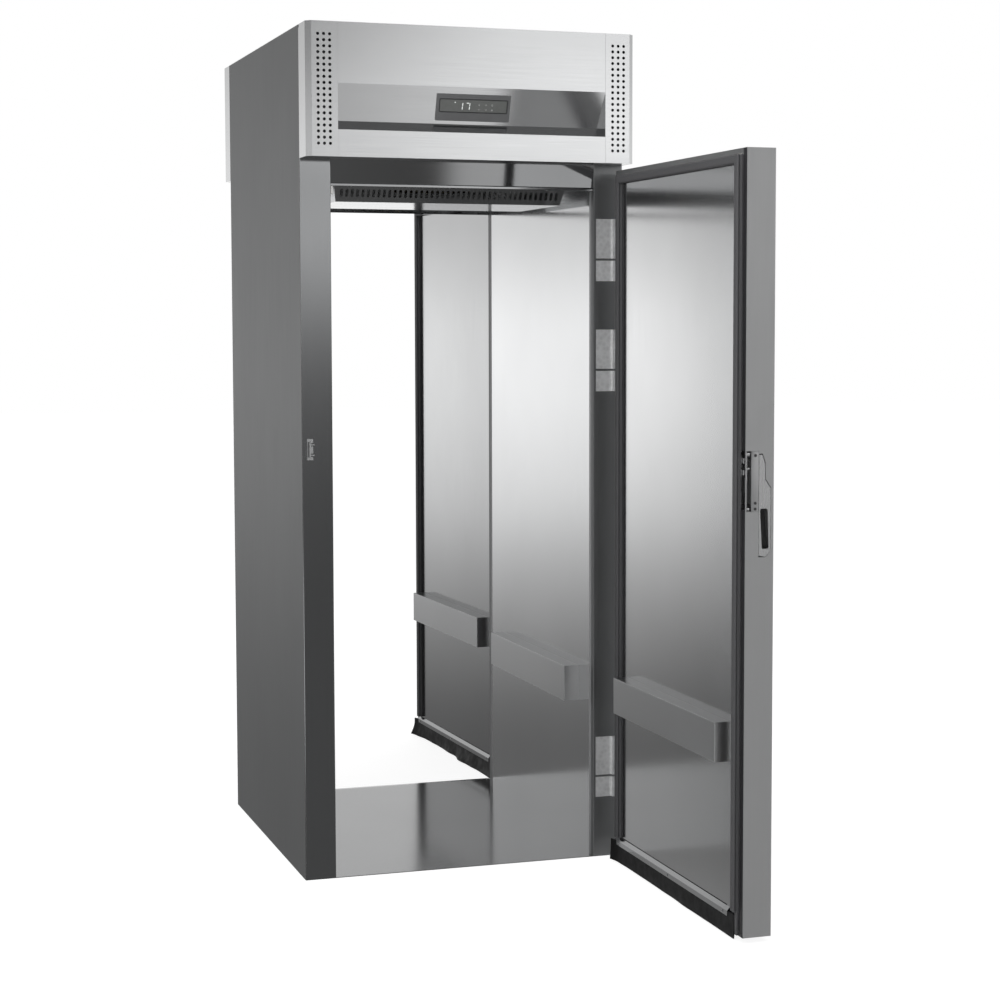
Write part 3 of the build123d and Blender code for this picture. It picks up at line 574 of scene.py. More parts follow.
class COLD_OT_finishes(bpy.types.Operator):
    """Give every CAD node its finish"""

    bl_idname = "cold.finishes"
    bl_label = "Finishes"

    def execute(self, context):
        steel = context.scene.cold_steel
        rubber_settings = context.scene.cold_rubber
        wall = sheet_steel("cabin_sheet", steel.wall_colour, steel.wall_roughness, 2, waves=0.05)
        casings = {
            side: casing_steel(
                f"{side}_casing_sheet",
                steel.side_colour,
                steel.side_roughness,
                steel.stile_colour,
                roughness,
            )
            for side, roughness in (
                ("left", steel.stile_roughness),
                ("right", RIGHT_STILE_ROUGHNESS),
            )
        }
        door = sheet_steel("door_sheet", steel.door_colour, 0.44, 2)
        hood = sheet_steel("hood_sheet", steel.hood_colour, 0.16, 0)
        # The lintel's darker grey is painted shade beneath the hood
        lintel = sheet_steel("lintel_shaded_sheet", LINTEL_SHADE_GREY, 0.05, 0, waves=0.02)
        plenum = shaded_soffit_steel(
            "plenum_sheet",
            steel.wall_colour,
            PLENUM_UNDER_SHADE_GREY,
            steel.wall_roughness,
            PLENUM_UNDERSIDE_Z,
        )
        # The two liners differ only in painted light: the rear liner's darker grey is painted
        # shade
        liners = {
            end: sheet_steel(f"{end}_liner_sheet", grey, LINER_ROUGHNESS, 2, waves=0.05)
            for end, grey in (("rear", REAR_LINER_SHADE_GREY), ("front", FRONT_LINER_LIT_GREY))
        }
        bumper = sheet_steel("bumper_sheet", (0.6, 0.605, 0.61), 0.3, 1, grain_depth=0.004)
        fitting = sheet_steel("fitting_steel", steel.fitting_colour, 0.27, 2)
        plate = coated("hinge_plate_steel", (0.82, 0.825, 0.83), 0.45, 0.7)
        sheet_steel("socket_steel", (0.12, 0.121, 0.123), 0.4, 2)
        casting = coated("latch_casting", (0.3, 0.303, 0.306), 0.45, 1.0)
        zinc = coated("zinc_sheet", (0.5, 0.51, 0.52), 0.42, 1.0)
        black = coated("black_enamel", (0.03, 0.03, 0.032), 0.4, 0.0)
        copper = coated("copper_tube", (0.72, 0.4, 0.27), 0.3, 1.0)
        fins = sheet_steel("aluminium_fin", (0.72, 0.73, 0.74), 0.34, 2)
        white = plastic("white_moulding", (0.78, 0.78, 0.76))
        grey = plastic("grey_moulding", (0.3, 0.305, 0.31))
        shell = plastic("controller_moulding", (0.13, 0.132, 0.135), 0.32)
        dark = plastic("dark_moulding", (0.02, 0.02, 0.022), 0.38)
        foam = plastic("insulating_foam", (0.82, 0.74, 0.5), 0.8)
        gasket = rubber("gasket_rubber", rubber_settings.gasket_colour)
        rubber("wiper_rubber", rubber_settings.wiper_colour)
        assign(wall, "wall_liners", "ceiling_liner", "floor_plate", "rear_sill")
        assign(plenum, "air_plenum")
        assign(lintel, "door_lintels")
        assign(bumper, "wall_bumpers")
        for side, casing in casings.items():
            assign(casing, f"{side}_side_casing")
        assign(hood, "front_hood_panel", "rear_hood_panel")
        assign(zinc, "roof_panel", "machine_deck", "electrical_box", "condensate_tray")
        assign(zinc, "evaporator_fan_motor")
        assign(fitting, "hood_pivots", "hood_pivot_leaves", "hinge_pins")
        assign(fitting, "latch_keepers", "cabinet_screws")
        assign(plate, "hinge_plates")
        assign(black, "condenser_cowl", "condenser_fan_motor", "compressor")
        assign(copper, "refrigerant_pipes")
        assign(fins, "condenser_coil", "evaporator_coil")
        assign(white, "evaporator_case", "door_sensor")
        assign(grey, "thermal_break_strips")
        assign(shell, "controller_housing")
        assign(display_glass("smoked_window"), "controller_window")
        assign(dark, "cable_gland", "evaporator_fan_rotor", "condenser_fan_rotor")
        assign(gasket, "compressor_mounts")
        assign(foam, "cabinet_foam")
        for end in ENDS:
            assign(door, f"{end}_door_pan")
            assign(liners[end], f"{end}_door_liner")
            assign(bumper, f"{end}_door_bumper")
            assign(wall, f"{end}_sweep_rail")
            assign(foam, f"{end}_door_foam")
            assign(casting, f"{end}_latch_case")
            assign(plate, f"{end}_door_hinge_leaves")
            assign(fitting, f"{end}_pull_lever", f"{end}_latch_bolt")
        return {"FINISHED"}


class COLD_OT_gaskets(bpy.types.Operator):
    """Fold the magnetic gaskets round both doors"""

    bl_idname = "cold.gaskets"
    bl_label = "Door Gaskets"

    def execute(self, context):
        for end in ENDS:
            gasket = door_gasket()
            gasket.name = f"{end}_gasket"
            settle(gasket, "gasket_rubber", f"{end}_door", door_place(end), 50)
            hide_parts(f"{end}_door_gasket")
        return {"FINISHED"}


# The gasket's section from its outer foot to its crown, as (inset, height) in millimetres
GASKET_FOLDS = (
    (0.0, 1.8),
    (1.2, 2.6),
    (0.5, 4.6),
    (3.4, 6.4),
    (0.6, 8.4),
    (0.2, 11.2),
    (1.0, 12.4),
    (2.2, 12.7),
    (3.0, 13.6),
    (7.5, 13.2),
    (11.25, 13.5),
)


def door_gasket():
    """A folded gasket, mitred at its two upper corners, on the door's own lengths."""
    width, tall = 0.834, 2.092
    middle_s, middle_z = DOOR_WIDTH / 2, 0.846
    lip = 22.5
    foot_z = 0.073
    clear_selection()
    bpy.ops.mesh.primitive_plane_add(
        size=1, location=(0, middle_s, middle_z), rotation=(0, -pi / 2, 0)
    )
    gasket = bpy.context.object
    gasket.scale = (tall, width, 1)
    bake_place(gasket)
    inner = tuple((lip - inset, height) for inset, height in reversed(GASKET_FOLDS[:-1]))
    edit(gasket)
    bpy.ops.mesh.select_all(action="SELECT")
    last_inset, last_height = 0.0, 0.0
    for inset, height in (*GASKET_FOLDS, *inner, (lip, 0.0)):
        bpy.ops.mesh.extrude_region_move(
            TRANSFORM_OT_translate={"value": (-(height - last_height) / 1000, 0, 0)}
        )
        bpy.ops.transform.resize(
            value=(
                1,
                (width - inset / 500) / (width - last_inset / 500),
                (tall - inset / 500) / (tall - last_inset / 500),
            ),
            center_override=(-height / 1000, middle_s, middle_z),
        )
        last_inset, last_height = inset, height
    choose_faces(gasket, lambda face: face.calc_area() > 0.5)
    bpy.ops.mesh.delete(type="ONLY_FACE")
    bpy.ops.mesh.select_mode(type="EDGE")
    bpy.ops.mesh.select_all(action="DESELECT")
    bpy.ops.mesh.select_non_manifold()
    bpy.ops.mesh.bridge_edge_loops()
    bpy.ops.mesh.select_all(action="SELECT")
    bpy.ops.mesh.bisect(
        plane_co=(0, 0, foot_z), plane_no=(0, 0, 1), clear_inner=True, use_fill=True
    )
    bpy.ops.object.mode_set(mode="OBJECT")
    round_edges(gasket, 0.0003, 2, 25)
    return gasket


# Opposite corners on the door's own lengths: the free edge, which is narrower beside the latch
# slot, then the hinge edge, then a dark bead above the rail that is painted shadow in the gap
# between rail and panel
BREAK_STRIPS_AND_SHADOW_LINE = (
    ((-0.0007, 0.868, 0.015), (0, 0.8868, 1.0495)),
    ((-0.0007, 0.8842, 1.0495), (0, 0.8868, 1.1915)),
    ((-0.0007, 0.868, 1.1915), (0, 0.8868, 1.9055)),
    ((-0.0007, 0.0015, 0.076), (0, 0.0262, 1.8935)),
    # Painted shadow: a dark bead standing in for the shaded gap above the rail
    ((-0.0008, 0.0515, 0.0723), (0, 0.79, 0.0748)),
)
# Where each gasket's one foot hangs along the door: near the free edge, or the hinge at the rear
GASKET_FEET = {"front": (0.8495, 0.861), "rear": (0.0275, 0.0385)}


class COLD_OT_break_strips(bpy.types.Operator):
    """Lay the dark break strips, the dark bead above each rail that paints the shadow in its gap,
    and the gaskets' feet
    """

    bl_idname = "cold.break_strips"
    bl_label = "Door Break Strips"

    def execute(self, context):
        for end in ENDS:
            strips = [block(low, high, 0.0002) for low, high in BREAK_STRIPS_AND_SHADOW_LINE]
            piece = join(f"{end}_break_strips", strips)
            settle(piece, "dark_moulding", f"{end}_door", door_place(end))
            foot_start, foot_end = GASKET_FEET[end]
            foot = block((-0.0052, foot_start, 0.015), (0, foot_end, 0.0735), 0.0008)
            foot.name = f"{end}_gasket_foot"
            settle(foot, "gasket_rubber", f"{end}_door", door_place(end))
        return {"FINISHED"}


# The wiper hangs from its rail between these heights, and moves below its clamp
WIPER_LOW_Z = 0.004
WIPER_HIGH_Z = 0.0615
WIPER_CLAMP_Z = 0.047
WIPER_LENGTH = 0.848
WIPER_CURL = 0.05


class COLD_OT_wipers(bpy.types.Operator):
    """Hang the rubber wipers below both doors"""

    bl_idname = "cold.wipers"
    bl_label = "Rubber Wipers"

    def execute(self, context):
        settings = context.scene.cold_rubber
        for end, ripple in (("front", settings.front_ripple), ("rear", settings.rear_ripple)):
            skirt = wavy_skirt(ripple)
            head = block((-0.002, 0.002, 0.0345), (0, WIPER_LENGTH, WIPER_HIGH_Z), 0.0004)
            wiper = join(f"{end}_wiper", [skirt, head])
            if end == "rear":
                wiper.data.transform(OTHER_WAY_ROUND)
            settle(wiper, "wiper_rubber", f"{end}_door", door_place(end), 60)
            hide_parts(f"{end}_door_sweep")
        return {"FINISHED"}


def wavy_skirt(ripple):
    """A rubber strip clamped at its top, whose lower edge waves in and out."""
    clear_selection()
    bpy.ops.mesh.primitive_grid_add(
        x_subdivisions=12,
        y_subdivisions=140,
        size=1,
        location=(-0.0037, WIPER_LENGTH / 2, (WIPER_LOW_Z + WIPER_HIGH_Z) / 2),
        rotation=(0, pi / 2, 0),
    )
    skirt = bpy.context.object
    skirt.scale = (WIPER_HIGH_Z - WIPER_LOW_Z, WIPER_LENGTH, 1)
    bake_place(skirt)
    hanging = skirt.vertex_groups.new(name="hanging")
    curled = skirt.vertex_groups.new(name="curled")
    for vertex in skirt.data.vertices:
        drop = max(0.0, (WIPER_CLAMP_Z - vertex.co.z) / (WIPER_CLAMP_Z - WIPER_LOW_Z))
        hanging.add([vertex.index], drop**1.4, "REPLACE")
        curled.add([vertex.index], max(0.0, 1 - vertex.co.y / WIPER_CURL) ** 2, "REPLACE")
    swell = bpy.data.textures.new("wiper_swell", "CLOUDS")
    swell.noise_scale = 0.19
    swell.noise_depth = 1
    wave = skirt.modifiers.new("wave", "DISPLACE")
    wave.texture = swell
    wave.texture_coords = "LOCAL"
    wave.direction = "X"
    wave.strength = ripple * 2
    wave.mid_level = 0.68
    wave.vertex_group = "hanging"
    finish_modifier(skirt, wave)
    curl = skirt.modifiers.new("curl", "DISPLACE")
    curl.direction = "X"
    curl.strength = -0.008
    curl.mid_level = 0
    curl.vertex_group = "curled"
    finish_modifier(skirt, curl)
    body = skirt.modifiers.new("body", "SOLIDIFY")
    body.thickness = 0.0032
    body.offset = 0
    finish_modifier(skirt, body)
    return skirt


def screw_head(radius, height):
    """A pan head with a crossed recess, its foot at the origin and its top up."""
    clear_selection()
    bpy.ops.mesh.primitive_cylinder_add(
        vertices=18, radius=radius, depth=height, location=(0, 0, height / 2)
    )
    head = bpy.context.object
    bake_place(head)
    round_edges(head, height * 0.45, 3, 60)
    arm = radius * 0.55
    slit = radius * 0.16
    floor = height * 0.45
    bars = [
        block((-arm, -slit, floor), (arm, slit, height * 1.6), slit * 0.2),
        block((-slit, -arm, floor), (slit, arm, height * 1.6), slit * 0.2),
    ]
    for bar in bars:
        cut = head.modifiers.new("recess", "BOOLEAN")
        cut.object = bar
        cut.solver = "EXACT"
        finish_modifier(head, cut)
    for bar in bars:
        bpy.data.objects.remove(bar)
    return head


def facing(direction, place):
    """Stand a pattern that points up so that it points in a direction at a place."""
    turn = Vector((0, 0, 1)).rotation_difference(Vector(direction)).to_matrix().to_4x4()
    return Matrix.Translation(place) @ turn


# Along the rail from its own end, and down from the top of each hinge leaf
RAIL_SCREWS = (0.045, 0.412, 0.78)
LEAF_SCREWS = (0.014, 0.054, 0.094)


class COLD_OT_screws(bpy.types.Operator):
    """Drive the screws of the wiper rails and the doors' hinge leaves"""

    bl_idname = "cold.screws"
    bl_label = "Door Screws"

    def execute(self, context):
        for end in ENDS:
            rail = copies(
                f"{end}_rail_screws",
                screw_head(0.0032, 0.0016),
                [facing((-1, 0, 0), (-0.007, along, 0.0563)) for along in RAIL_SCREWS],
            )
            if end == "rear":
                rail.data.transform(OTHER_WAY_ROUND)
            settle(rail, "fitting_steel", f"{end}_door", door_place(end))
            leaf = copies(
                f"{end}_leaf_screws",
                screw_head(0.0038, 0.0019),
                [
                    facing((0, -1, 0), (0.052, -0.0025, top - drop))
                    for top in HINGE_TOPS
                    for drop in LEAF_SCREWS
                ],
            )
            settle(leaf, "fitting_steel", f"{end}_door", door_place(end))
        return {"FINISHED"}


FACEPLATE_SCREWS = (1.1805, 1.067, 1.053)
# Opposite corners of the brackets in the slot, on the door's own lengths
LATCH_BRACKETS = (
    ((0.0045, 0.876, 1.179), (0.013, 0.8848, 1.1868), 0.0006),
    ((0.0045, 0.874, 1.1465), (0.0132, 0.884, 1.1512), 0.0006),
    ((0.004, 0.877, 1.0495), (0.0125, 0.8848, 1.0552), 0.0006),
    ((0.0038, 0.872, 1.091), (0.0052, 0.8835, 1.126), 0.0004),
)
# The guide rod's line, and each spring's foot and turns on it
ROD_X = 0.0092
ROD_S = 0.8755
SPRINGS = ((1.0565, 13), (1.1515, 11))


class COLD_OT_latch_trim(bpy.types.Operator):
    """Fit the latch's faceplate and show its works in the slot"""

    bl_idname = "cold.latch_trim"
    bl_label = "Latch Trim"

    def execute(self, context):
        plate_back = DOOR_WIDTH + 0.0001
        plate_front = DOOR_WIDTH + 0.0007
        for end in ENDS:
            plate = block((0.0149, plate_back, 1.0466), (0.0342, plate_front, 1.1904), 0.0002)
            plate.name = f"{end}_latch_faceplate"
            settle(plate, "door_sheet", f"{end}_door", door_place(end))
            heads = copies(
                f"{end}_latch_screws",
                screw_head(0.0036, 0.0011),
                [facing((0, 1, 0), (0.0255, plate_front, height)) for height in FACEPLATE_SCREWS],
            )
            settle(heads, "socket_steel", f"{end}_door", door_place(end))
            works = join(f"{end}_latch_works", latch_works())
            settle(works, "fitting_steel", f"{end}_door", door_place(end))
        return {"FINISHED"}


def latch_works():
    """The springs, guide rod and brackets that the slot in the free edge shows."""
    parts = [block(low, high, rounding) for low, high, rounding in LATCH_BRACKETS]
    clear_selection()
    bpy.ops.mesh.primitive_cylinder_add(
        vertices=12, radius=0.0011, depth=0.13, location=(ROD_X, ROD_S, 1.117)
    )
    rod = bpy.context.object
    bake_place(rod)
    round_edges(rod, 0.0003, 2, 60)
    parts.append(rod)
    for low_z, turns in SPRINGS:
        clear_selection()
        bpy.ops.mesh.primitive_circle_add(
            vertices=7, radius=0.0004, location=(0.0029, 0, 0), rotation=(pi / 2, 0, 0)
        )
        spring = bpy.context.object
        bake_place(spring)
        coil = spring.modifiers.new("coil", "SCREW")
        coil.axis = "Z"
        coil.angle = 2 * pi
        coil.screw_offset = 0.0024
        coil.iterations = turns
        coil.steps = 14
        coil.render_steps = 14
        finish_modifier(spring, coil)
        spring.data.transform(Matrix.Translation((ROD_X, ROD_S, low_z)))
        edit(spring)
        bpy.ops.mesh.select_all(action="SELECT")
        bpy.ops.mesh.remove_doubles(threshold=0.00001)
        bpy.ops.mesh.fill_holes(sides=0)
        bpy.ops.object.mode_set(mode="OBJECT")
        parts.append(spring)
    return parts


# From the hood recess's slope (across, up along it, out of it) to the frame
SLOPE = Matrix(
    (
        (1, 0, 0, 0),
        (0, -0.3252, -0.9457, -0.59),
        (0, 0.9457, -0.3252, 2.113),
        (0, 0, 0, 1),
    )
)


def stroke(start, end, width, level=0.0028, height=0.00035):
    """A flat bar with softened edges, drawn on the controller's window."""
    run = Vector(end) - Vector(start)
    bar = block(
        (-run.length / 2, -width / 2, level), (run.length / 2, width / 2, level + height), 0.0001
    )
    middle = (Vector(start) + Vector(end)) / 2
    turn = Matrix.Rotation(atan2(run.y, run.x), 4, "Z")
    bar.data.transform(Matrix.Translation((middle.x, middle.y, 0)) @ turn)
    return bar


class COLD_OT_display(bpy.types.Operator):
    """Fit the window's rim, its numerals, lamp and touch marks"""

    bl_idname = "cold.display"
    bl_label = "Controller Display"

    def execute(self, context):
        settings = context.scene.cold_controller
        lit("lit_segment", settings.digit_colour, 0.95)
        lit("touch_mark", (0.21, 0.215, 0.21), 0.9)
        settle(window_rim(), "dark_moulding", "front_hood", SLOPE)
        width = settings.segment_width
        tall = settings.digit_height
        base, gap, lean = -0.0588, 0.0007, 0.06
        bar_reach = 0.009
        numerals = []
        for foot, upper_bar in ((-0.0293, False), (-0.0098, True)):
            for low, high in ((0.0, tall / 2 - gap), (tall / 2 + gap, tall)):
                start = (foot + low * lean, base + low)
                end = (foot + high * lean, base + high)
                numerals.append(stroke(start, end, width))
            if upper_bar:
                right = foot + tall * lean
                start = (right - bar_reach, base + tall)
                end = (right - gap - width, base + tall)
                numerals.append(stroke(start, end, width))
        settle(
            join("temperature_numerals", numerals),
            "lit_segment",
            "front_hood",
            SLOPE,
        )
        clear_selection()
        bpy.ops.mesh.primitive_uv_sphere_add(
            segments=16, ring_count=8, radius=0.0014, location=(-0.0496, -0.0406, 0.0028)
        )
        lamp = bpy.context.object
        lamp.name = "display_lamp"
        lamp.scale = (1, 1, 0.4)
        bake_place(lamp)
        settle(lamp, "lit_segment", "front_hood", SLOPE)
        settle(touch_marks(), "touch_mark", "front_hood", SLOPE)
        return {"FINISHED"}


def window_rim():
    """A raised rounded frame round the controller's window."""
    clear_selection()
    bpy.ops.mesh.primitive_plane_add(size=1, location=(0.0015, -0.049, 0.0027))
    rim = bpy.context.object
    rim.name = "window_rim"
    rim.scale = (0.1892, 0.0368, 1)
    bake_place(rim)
    edit(rim)
    bpy.ops.mesh.select_all(action="SELECT")
    bpy.ops.mesh.bevel(offset=0.0042, segments=5, affect="VERTICES")
    bpy.ops.mesh.select_all(action="SELECT")
    bpy.ops.mesh.inset(thickness=0.0021, depth=0)
    bpy.ops.mesh.delete(type="ONLY_FACE")
    bpy.ops.mesh.select_all(action="SELECT")
    bpy.ops.mesh.extrude_region_move(TRANSFORM_OT_translate={"value": (0, 0, 0.0009)})
    bpy.ops.object.mode_set(mode="OBJECT")
    round_edges(rim, 0.0003, 2, 40)
    return rim


def touch_marks():
    """Six faint generic marks: more, less, up, down, cold and run."""
    columns = (0.0168, 0.0362, 0.0529)
    upper, lower = -0.0456, -0.0584
    size, line = 0.0026, 0.0006
    first, second, third = columns
    marks = [
        stroke((first - size, upper), (first + size, upper), line),
        stroke((first, upper - size), (first, upper + size), line),
        stroke((first - size, lower), (first + size, lower), line),
        stroke((second - size, upper - size / 2), (second, upper + size / 2), line),
        stroke((second, upper + size / 2), (second + size, upper - size / 2), line),
        stroke((second - size, lower + size / 2), (second, lower - size / 2), line),
        stroke((second, lower - size / 2), (second + size, lower + size / 2), line),
        stroke((third, lower - size), (third, lower + size), line),
        stroke((third - size, lower - size / 2), (third + size, lower + size / 2), line),
        stroke((third - size, lower + size / 2), (third + size, lower - size / 2), line),
    ]
    clear_selection()
    bpy.ops.mesh.primitive_torus_add(
        major_radius=size * 0.9,
        minor_radius=line / 2,
        major_segments=20,
        minor_segments=6,
        location=(third, upper, 0.0029),
    )
    ring = bpy.context.object
    bake_place(ring)
    marks.append(ring)
    return join("touch_marks", marks)


def room_tones(nodes, stops):
    """A ramp of greys from (elevation in degrees, brightness) stops, for a value of 0 to 1."""
    colours = nodes.new("ShaderNodeValToRGB")
    elements = colours.color_ramp.elements
    while len(elements) < len(stops):
        elements.new(0.5)
    for element, (elevation, grey) in zip(elements, stops):
        element.position = sin(radians(elevation)) / 2 + 0.5
        element.color = (grey / BRIGHTEST, grey / BRIGHTEST, grey / BRIGHTEST, 1)
    return colours


def plain_math(nodes, links, operation, *values):
    """A math node on two or three values or outputs."""
    node = nodes.new("ShaderNodeMath")
    node.operation = operation
    for slot, value in zip(node.inputs, values):
        if isinstance(value, (int, float)):
            slot.default_value = value
        else:
            links.new(value, slot)
    return node.outputs[0]


def across(nodes, links, value, start, end):
    """A smooth step from 0 to 1."""
    step = nodes.new("ShaderNodeMapRange")
    step.interpolation_type = "SMOOTHSTEP"
    step.inputs["From Min"].default_value = start
    step.inputs["From Max"].default_value = end
    links.new(value, step.inputs["Value"])
    return step.outputs["Result"]


def colour_mix(nodes, links, factor, first, second):
    """One colour output turning into another."""
    mix = nodes.new("ShaderNodeMix")
    mix.data_type = "RGBA"
    links.new(factor, mix.inputs[0])
    links.new(first, mix.inputs[6])
    links.new(second, mix.inputs[7])
    return mix.outputs[2]


# The room as the metal shows it: (elevation in degrees, brightness)
REAR_ROOM = (
    (-90, 0.3),
    (-30, 0.6),
    (-18, 0.5),
    (-14.5, 0.3),
    (-11.4, 0.15),
    (-9.9, 0.2),
    (-7.8, 0.43),
    (-6.2, 0.7),
    (-4.7, 1.1),
    (-2, 1.42),
    (0, 1.45),
    (2.3, 1.0),
    (4, 0.95),
    (8, 0.6),
    (13.5, 0.6),
    (18, 0.5),
    (30, 0.2),
    (90, 0.1),
)
FRONT_LEFT_ROOM = (
    (-90, 0.08),
    (-42, 0.1),
    (-36, 0.5),
    (-29, 0.54),
    (-24, 0.2),
    (-14, 0.17),
    (-7, 0.16),
    (-4, 0.2),
    (-1.8, 0.27),
    (-0.4, 0.45),
    (0.8, 0.8),
    (2.1, 1.2),
    (3.0, 1.0),
    (3.9, 0.62),
    (4.2, 0.9),
    (4.6, 1.7),
    (5.2, 1.6),
    (6.0, 0.25),
    (8.0, 0.22),
    (15, 0.4),
    (29, 0.18),
    (90, 0.15),
)
FRONT_RIGHT_ROOM = (
    (-90, 0.06),
    (-42, 0.1),
    (-36, 1.0),
    (-29, 1.25),
    (-24, 0.14),
    (-7, 0.08),
    (-3, 0.08),
    (-0.4, 0.3),
    (0.8, 0.8),
    (2.1, 1.4),
    (3.8, 0.9),
    (4.2, 2.2),
    (5.2, 2.2),
    (6.0, 1.25),
    (8, 1.25),
    (15, 0.6),
    (29, 0.18),
    (90, 0.15),
)


# Where the front room turns from its left tones to its right ones, and to the rear room
RIGHT_FROM = (0.2, 0.3)
REAR_FROM = (-0.5, 0.5)
# Two grey cards low in the front room: where each begins across X, its grey, and their band of Z
CARDS = (((0.268, 0.28), 0.32), ((-0.2, -0.22), 0.5))
CARD_BAND = ((-0.2, -0.19), (-0.105, -0.12))
# The rear room fades to its dimmest towards the far left
DIM_FROM = (-0.402, -0.37)
DIMMEST = 0.4


def studio_world(fill, reflected):
    """White behind the object, plain grey light on it, and the studio's own tones in the metal."""
    world = bpy.data.worlds.new("studio_world")
    bpy.context.scene.world = world
    world.use_nodes = True
    nodes = world.node_tree.nodes
    links = world.node_tree.links
    nodes.clear()
    path = nodes.new("ShaderNodeLightPath")
    light = nodes.new("ShaderNodeBackground")
    light.inputs["Color"].default_value = (1, 1, 1, 1)
    light.inputs["Strength"].default_value = fill
    white = nodes.new("ShaderNodeBackground")
    white.inputs["Color"].default_value = (1, 1, 1, 1)
    direction = nodes.new("ShaderNodeTexCoord")
    parts = nodes.new("ShaderNodeSeparateXYZ")
    links.new(direction.outputs["Generated"], parts.inputs[0])
    height = plain_math(nodes, links, "MULTIPLY_ADD", parts.outputs["Z"], 0.5, 0.5)
    tones = [room_tones(nodes, stops) for stops in (REAR_ROOM, FRONT_LEFT_ROOM, FRONT_RIGHT_ROOM)]
    for tone in tones:
        links.new(height, tone.inputs[0])
    rear, front_left, front_right = (tone.outputs["Color"] for tone in tones)
    sideways = across(nodes, links, parts.outputs["X"], *RIGHT_FROM)
    front = colour_mix(nodes, links, sideways, front_left, front_right)
    for edge_x, grey in CARDS:
        card = across(nodes, links, parts.outputs["X"], *edge_x)
        for edge_z in CARD_BAND:
            edge = across(nodes, links, parts.outputs["Z"], *edge_z)
            card = plain_math(nodes, links, "MULTIPLY", card, edge)
        card_grey = nodes.new("ShaderNodeRGB").outputs[0]
        card_grey.default_value = (grey, grey, grey, 1)
        front = colour_mix(nodes, links, card, front, card_grey)
    dimmer = across(nodes, links, parts.outputs["X"], *DIM_FROM)
    dimmer = plain_math(nodes, links, "MULTIPLY_ADD", dimmer, 1 - DIMMEST, DIMMEST)
    dimmed = nodes.new("ShaderNodeVectorMath")
    dimmed.operation = "SCALE"
    links.new(rear, dimmed.inputs[0])
    links.new(dimmer, dimmed.inputs["Scale"])
    rear = dimmed.outputs["Vector"]
    backwards = across(nodes, links, parts.outputs["Y"], *REAR_FROM)
    room = colour_mix(nodes, links, backwards, front, rear)
    studio = nodes.new("ShaderNodeBackground")
    studio.inputs["Strength"].default_value = reflected
    links.new(room, studio.inputs["Color"])
    glossy = plain_math(
        nodes, links, "MAXIMUM", path.outputs["Is Glossy Ray"], path.outputs["Is Transmission Ray"]
    )
    in_metal = nodes.new("ShaderNodeMixShader")
    links.new(glossy, in_metal.inputs[0])
    links.new(light.outputs[0], in_metal.inputs[1])
    links.new(studio.outputs[0], in_metal.inputs[2])
    seen = nodes.new("ShaderNodeMixShader")
    links.new(path.outputs["Is Camera Ray"], seen.inputs[0])
    links.new(in_metal.outputs[0], seen.inputs[1])
    links.new(white.outputs[0], seen.inputs[2])
    output = nodes.new("ShaderNodeOutputWorld")
    links.new(seen.outputs[0], output.inputs["Surface"])


def floor_finish():
    """A white floor that takes a faint shadow."""
    material = bpy.data.materials.new("studio_floor")
    material.use_nodes = True
    nodes = material.node_tree.nodes
    links = material.node_tree.links
    nodes.clear()
    path = nodes.new("ShaderNodeLightPath")
    white = nodes.new("ShaderNodeEmission")
    white.inputs["Color"].default_value = (1, 1, 1, 1)
    white.inputs["Strength"].default_value = 0.86
    matt = nodes.new("ShaderNodeBsdfDiffuse")
    matt.inputs["Color"].default_value = (0.3, 0.3, 0.3, 1)
    seen = nodes.new("ShaderNodeAddShader")
    links.new(white.outputs[0], seen.inputs[0])
    links.new(matt.outputs[0], seen.inputs[1])
    pale = nodes.new("ShaderNodeBsdfDiffuse")
    pale.inputs["Color"].default_value = (0.75, 0.75, 0.75, 1)
    whole = nodes.new("ShaderNodeMixShader")
    links.new(path.outputs["Is Camera Ray"], whole.inputs[0])
    links.new(pale.outputs[0], whole.inputs[1])
    links.new(seen.outputs[0], whole.inputs[2])
    output = nodes.new("ShaderNodeOutputMaterial")
    links.new(whole.outputs[0], output.inputs["Surface"])
    return material


# Each lamp's name, place, aim, size in metres and power in watts
LAMPS = (
    ("overhead_lamp", (-0.5, -1.5, 4.6), (0, 0, 0), 3.0, 90),
    ("front_lamp", (-3.2, -4.2, 3.2), (0, -0.5, 1.0), 2.2, 60),
    ("rear_lamp", (1.5, 4.5, 3.4), (0, 0.5, 1.0), 2.2, 50),
)
# The photograph's camera, which looks a little below level and is turned to its right
CAMERA_PLACE = (-1.6796, -6.2257, 1.5005)
CAMERA_DIP = 0.0762
CAMERA_TURN = -0.3329
CAMERA_SHIFT = (-0.0707, -0.0116)
SENSOR_WIDTH = 36


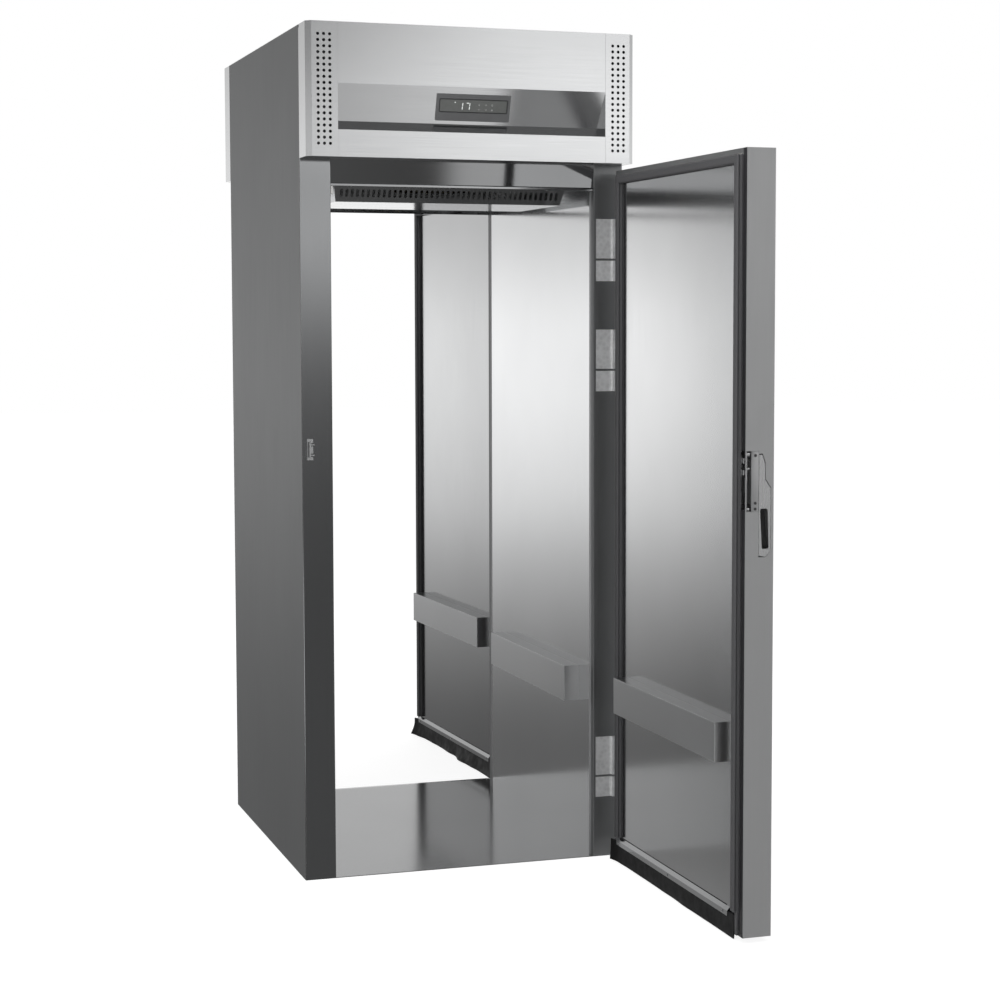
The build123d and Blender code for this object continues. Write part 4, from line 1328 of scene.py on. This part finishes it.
class COLD_OT_studio(bpy.types.Operator):
    """Set out the floor, the lamps, the world and the camera"""

    bl_idname = "cold.studio"
    bl_label = "Studio"

    def execute(self, context):
        studio = context.scene.cold_studio
        clear_selection()
        bpy.ops.mesh.primitive_plane_add(size=studio.floor_size, location=(0, 0, 0))
        floor = context.object
        floor.name = "floor"
        floor.data.materials.append(floor_finish())
        floor.visible_glossy = False
        studio_world(studio.fill, studio.reflected)
        for name, place, aim, size, power in LAMPS:
            clear_selection()
            bpy.ops.object.light_add(type="AREA", location=place)
            lamp = context.object
            lamp.name = name
            lamp.data.size = size
            lamp.data.energy = power
            lamp.visible_glossy = False
            aim_line = Vector(aim) - Vector(place)
            lamp.rotation_euler = aim_line.to_track_quat("-Z", "Y").to_euler()
        clear_selection()
        bpy.ops.object.camera_add(
            location=CAMERA_PLACE, rotation=(pi / 2 - CAMERA_DIP, 0, CAMERA_TURN)
        )
        camera = context.object
        camera.name = "camera"
        camera.data.lens = studio.focal_length
        camera.data.sensor_width = SENSOR_WIDTH
        camera.data.shift_x, camera.data.shift_y = CAMERA_SHIFT
        camera.data.clip_end = 200
        context.scene.camera = camera
        context.scene.view_settings.view_transform = "Standard"
        return {"FINISHED"}


class COLD_PT_sidebar(bpy.types.Panel):
    """The cabinet's operators and settings"""

    bl_label = "Cold Cabinet"
    bl_idname = "COLD_PT_sidebar"
    bl_space_type = "VIEW_3D"
    bl_region_type = "UI"
    bl_category = "Cold Cabinet"

    def draw(self, context):
        layout = self.layout
        for operator in OPERATORS:
            layout.operator(operator.bl_idname)
        for group in GROUPS:
            values = getattr(context.scene, group)
            for key in values.__annotations__:
                layout.prop(values, key)


GROUPS = {
    "cold_steel": SteelSettings,
    "cold_rubber": RubberSettings,
    "cold_controller": ControllerSettings,
    "cold_studio": StudioSettings,
}
OPERATORS = (
    COLD_OT_finishes,
    COLD_OT_gaskets,
    COLD_OT_break_strips,
    COLD_OT_wipers,
    COLD_OT_screws,
    COLD_OT_latch_trim,
    COLD_OT_display,
    COLD_OT_studio,
)


def register():
    """Add the settings, the operators and the sidebar to Blender."""
    for name, group in GROUPS.items():
        bpy.utils.register_class(group)
        setattr(bpy.types.Scene, name, PointerProperty(type=group))
    for cls in (*OPERATORS, COLD_PT_sidebar):
        bpy.utils.register_class(cls)


def unregister():
    """Take the sidebar, the operators and the settings away again."""
    for cls in (COLD_PT_sidebar, *reversed(OPERATORS)):
        bpy.utils.unregister_class(cls)
    for name, group in reversed(list(GROUPS.items())):
        delattr(bpy.types.Scene, name)
        bpy.utils.unregister_class(group)


def main():
    """Build the dressed cabinet."""
    register()
    bpy.ops.cold.finishes()
    bpy.ops.cold.gaskets()
    bpy.ops.cold.break_strips()
    bpy.ops.cold.wipers()
    bpy.ops.cold.screws()
    bpy.ops.cold.latch_trim()
    bpy.ops.cold.display()
    bpy.ops.cold.studio()


if __name__ == "__main__":
    main()
